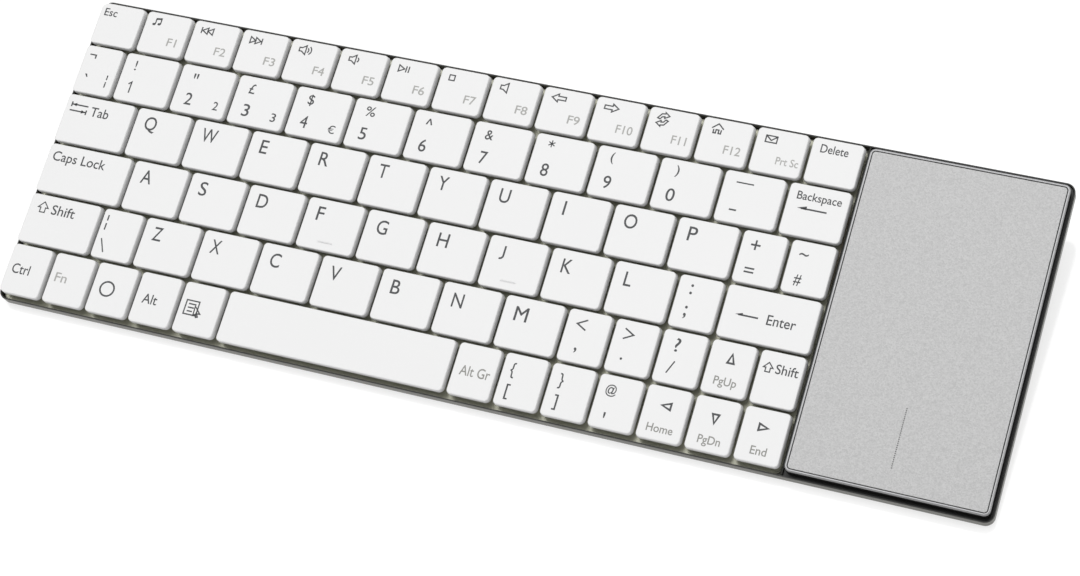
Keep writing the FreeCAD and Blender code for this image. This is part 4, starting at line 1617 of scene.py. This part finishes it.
@dataclass
class Case:
    """The pan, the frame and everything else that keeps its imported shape."""

    shop: Workshop
    rounded: tuple[tuple[str, str, str, float], ...] = (
        ("base_pan", "base", "pan_steel", 0.08),
        ("chassis_frame", "base", "frame_black", 0.06),
        ("bay_divider", "base", "divider_steel", 0.12),
        ("battery_tube", "base", "tube_black", 0.12),
        ("battery_cap", "battery_cap", "tube_black", 0.15),
        ("tube_end_plug", "base", "tube_black", 0.12),
        ("power_switch_slider", "power_switch", "slider_grey", 0.12),
        ("rubber_feet", "base", "foot_rubber", 0.2),
        ("pan_screws", "base", "screw_steel", 0.06),
    )
    dressed: tuple[tuple[str, str], ...] = (
        ("support_plate", "plate_steel"),
        ("membrane_layers", "membrane_film"),
        ("space_bar_wire", "wire_steel"),
        ("touchpad_sensor_board", "board_green"),
        ("click_switches", "switch_metal"),
        ("main_board", "board_green"),
        ("inner_wiring", "wiring_film"),
        ("battery_cells", "cell_label"),
        ("battery_contacts", "contact_nickel"),
    )
    rim_corner: float = 2.8
    rim_span: Point = (0.03, 0.39)
    rim_rise: float = 0.012

    def build(self) -> None:
        """Soften what shows, paint shade along the rim's top, and dress the rest."""
        for node, body, finish, edge in self.rounded:
            self.shop.soften(node, body, finish, edge)
        self.line_rim()
        for node, finish in self.dressed:
            self.shop.dress(node, finish)

    def line_rim(self) -> None:
        """A thin black band along the top of the pan's upright rim: painted shade."""
        low, high = self.shop.deck.box("base_pan")
        plan = Plan.over(low, high, self.rim_corner)
        foot, top = high[2] - self.rim_rise, high[2] + self.rim_rise
        near, far = self.rim_span
        band = plan.skin([(near, foot), (near, top), (far, top), (far, foot)], True)
        # The band is painted shade along the top of the rim.
        self.shop.piece("pan_rim_line", band, "base", "rim_black")


# The studio


@dataclass
class Studio:
    """A white floor, a pale world, soft lights and the camera."""

    deck: Deck
    eye: Triple = (233.796, -220.093, 700.315)
    right: Triple = (0.93507611, 0.28195398, -0.21478972)
    up: Triple = (-0.19940857, 0.91946175, 0.3388603)
    back: Triple = (0.29303394, -0.27402926, 0.91599076)
    lens: float = 89.414
    film_width: float = 36.0
    seen: Point = (0.01, 30.0)
    sky: float = 0.83
    floor_half: float = 6.0
    floor_gap: float = 0.0001
    floor_cloud: float = 400.0
    floor_roughness: float = 0.08
    floor_haze: float = 0.02
    glow: float = 0.66
    lamps: tuple[tuple[str, Triple, Point, float], ...] = (
        ("overhead", (-0.45, 0.5, 2.2), (2.6, 1.6), 29.5),
        ("side", (1.3, 0.2, 0.8), (0.8, 0.8), 3.0),
    )

    def build(self) -> None:
        """Make everything in order."""
        bpy.context.scene.view_settings.view_transform = "Standard"
        self.world()
        self.floor()
        self.lights()
        self.camera()

    def world(self) -> None:
        """An even pale sky."""
        world = bpy.data.worlds.new("studio")
        world.use_nodes = True
        shade = world.node_tree.nodes["Background"]
        shade.inputs["Color"].default_value = (1, 1, 1, 1)
        shade.inputs["Strength"].default_value = self.sky
        bpy.context.scene.world = world

    def floor(self) -> None:
        """A light table: a glossy sheet of white acrylic, lit from below, just under the feet."""
        half, z = self.floor_half, -self.floor_gap
        corners = [(-half, -half, z), (half, -half, z), (half, half, z), (-half, half, z)]
        mesh = bpy.data.meshes.new("floor")
        mesh.from_pydata(corners, [], [(0, 1, 2, 3)])
        wiring = Wiring("floor_white")
        cloud = wiring.noise(self.floor_cloud)
        material = wiring.finish(
            Base_Color=wiring.blend(cloud, grey(150), grey(156)),
            Roughness=self.floor_roughness + cloud * self.floor_haze,
            Emission_Color=wiring.blend(cloud, grey(253), grey(255)),
            Emission_Strength=self.glow,
        )
        mesh.materials.append(material)
        placed("floor", mesh)

    def lights(self) -> None:
        """A broad soft box overhead and a small one at the right, both aimed at the middle."""
        for name, place, size, power in self.lamps:
            lamp = bpy.data.lights.new(name, "AREA")
            lamp.shape = "RECTANGLE"
            lamp.size, lamp.size_y = size
            lamp.energy = power
            holder = placed(name, lamp)
            stand = np.array(place)
            aim = -stand / np.linalg.norm(stand)
            side = np.cross(aim, (0.0, 0.0, 1.0))
            side /= np.linalg.norm(side)
            self.stand(holder, stand, side, np.cross(side, aim), -aim)

    def stand(self, holder: bpy.types.Object, place: np.ndarray, *axes: np.ndarray) -> None:
        """Put a lamp or camera in place by its right, up and back directions."""
        matrix = np.vstack([np.column_stack([*axes, place]), (0, 0, 0, 1)])
        holder.matrix_world = Matrix(matrix.tolist())

    def camera(self) -> None:
        """The photograph's camera, recovered from the key grid."""
        lens = bpy.data.cameras.new("camera")
        lens.lens = self.lens
        lens.sensor_width = self.film_width
        lens.clip_start, lens.clip_end = self.seen
        holder = placed("camera", lens)
        place = self.deck.to_row(np.array([self.eye]))[0]
        axes = np.array([self.right, self.up, self.back]) @ self.deck.turn.T
        self.stand(holder, place, *axes)
        bpy.context.scene.camera = holder


def main() -> None:
    """Build the pieces in order."""
    logging.basicConfig(level=logging.INFO, format="%(name)s: %(message)s")
    deck = Deck.of_frame()
    shop = Workshop(deck, Palette(deck))
    for part in (KeyBank(shop, Printer()), Touchpad(shop), Case(shop), Studio(deck)):
        part.build()
        log.info("%s built", type(part).__name__)


if __name__ == "__main__":
    main()
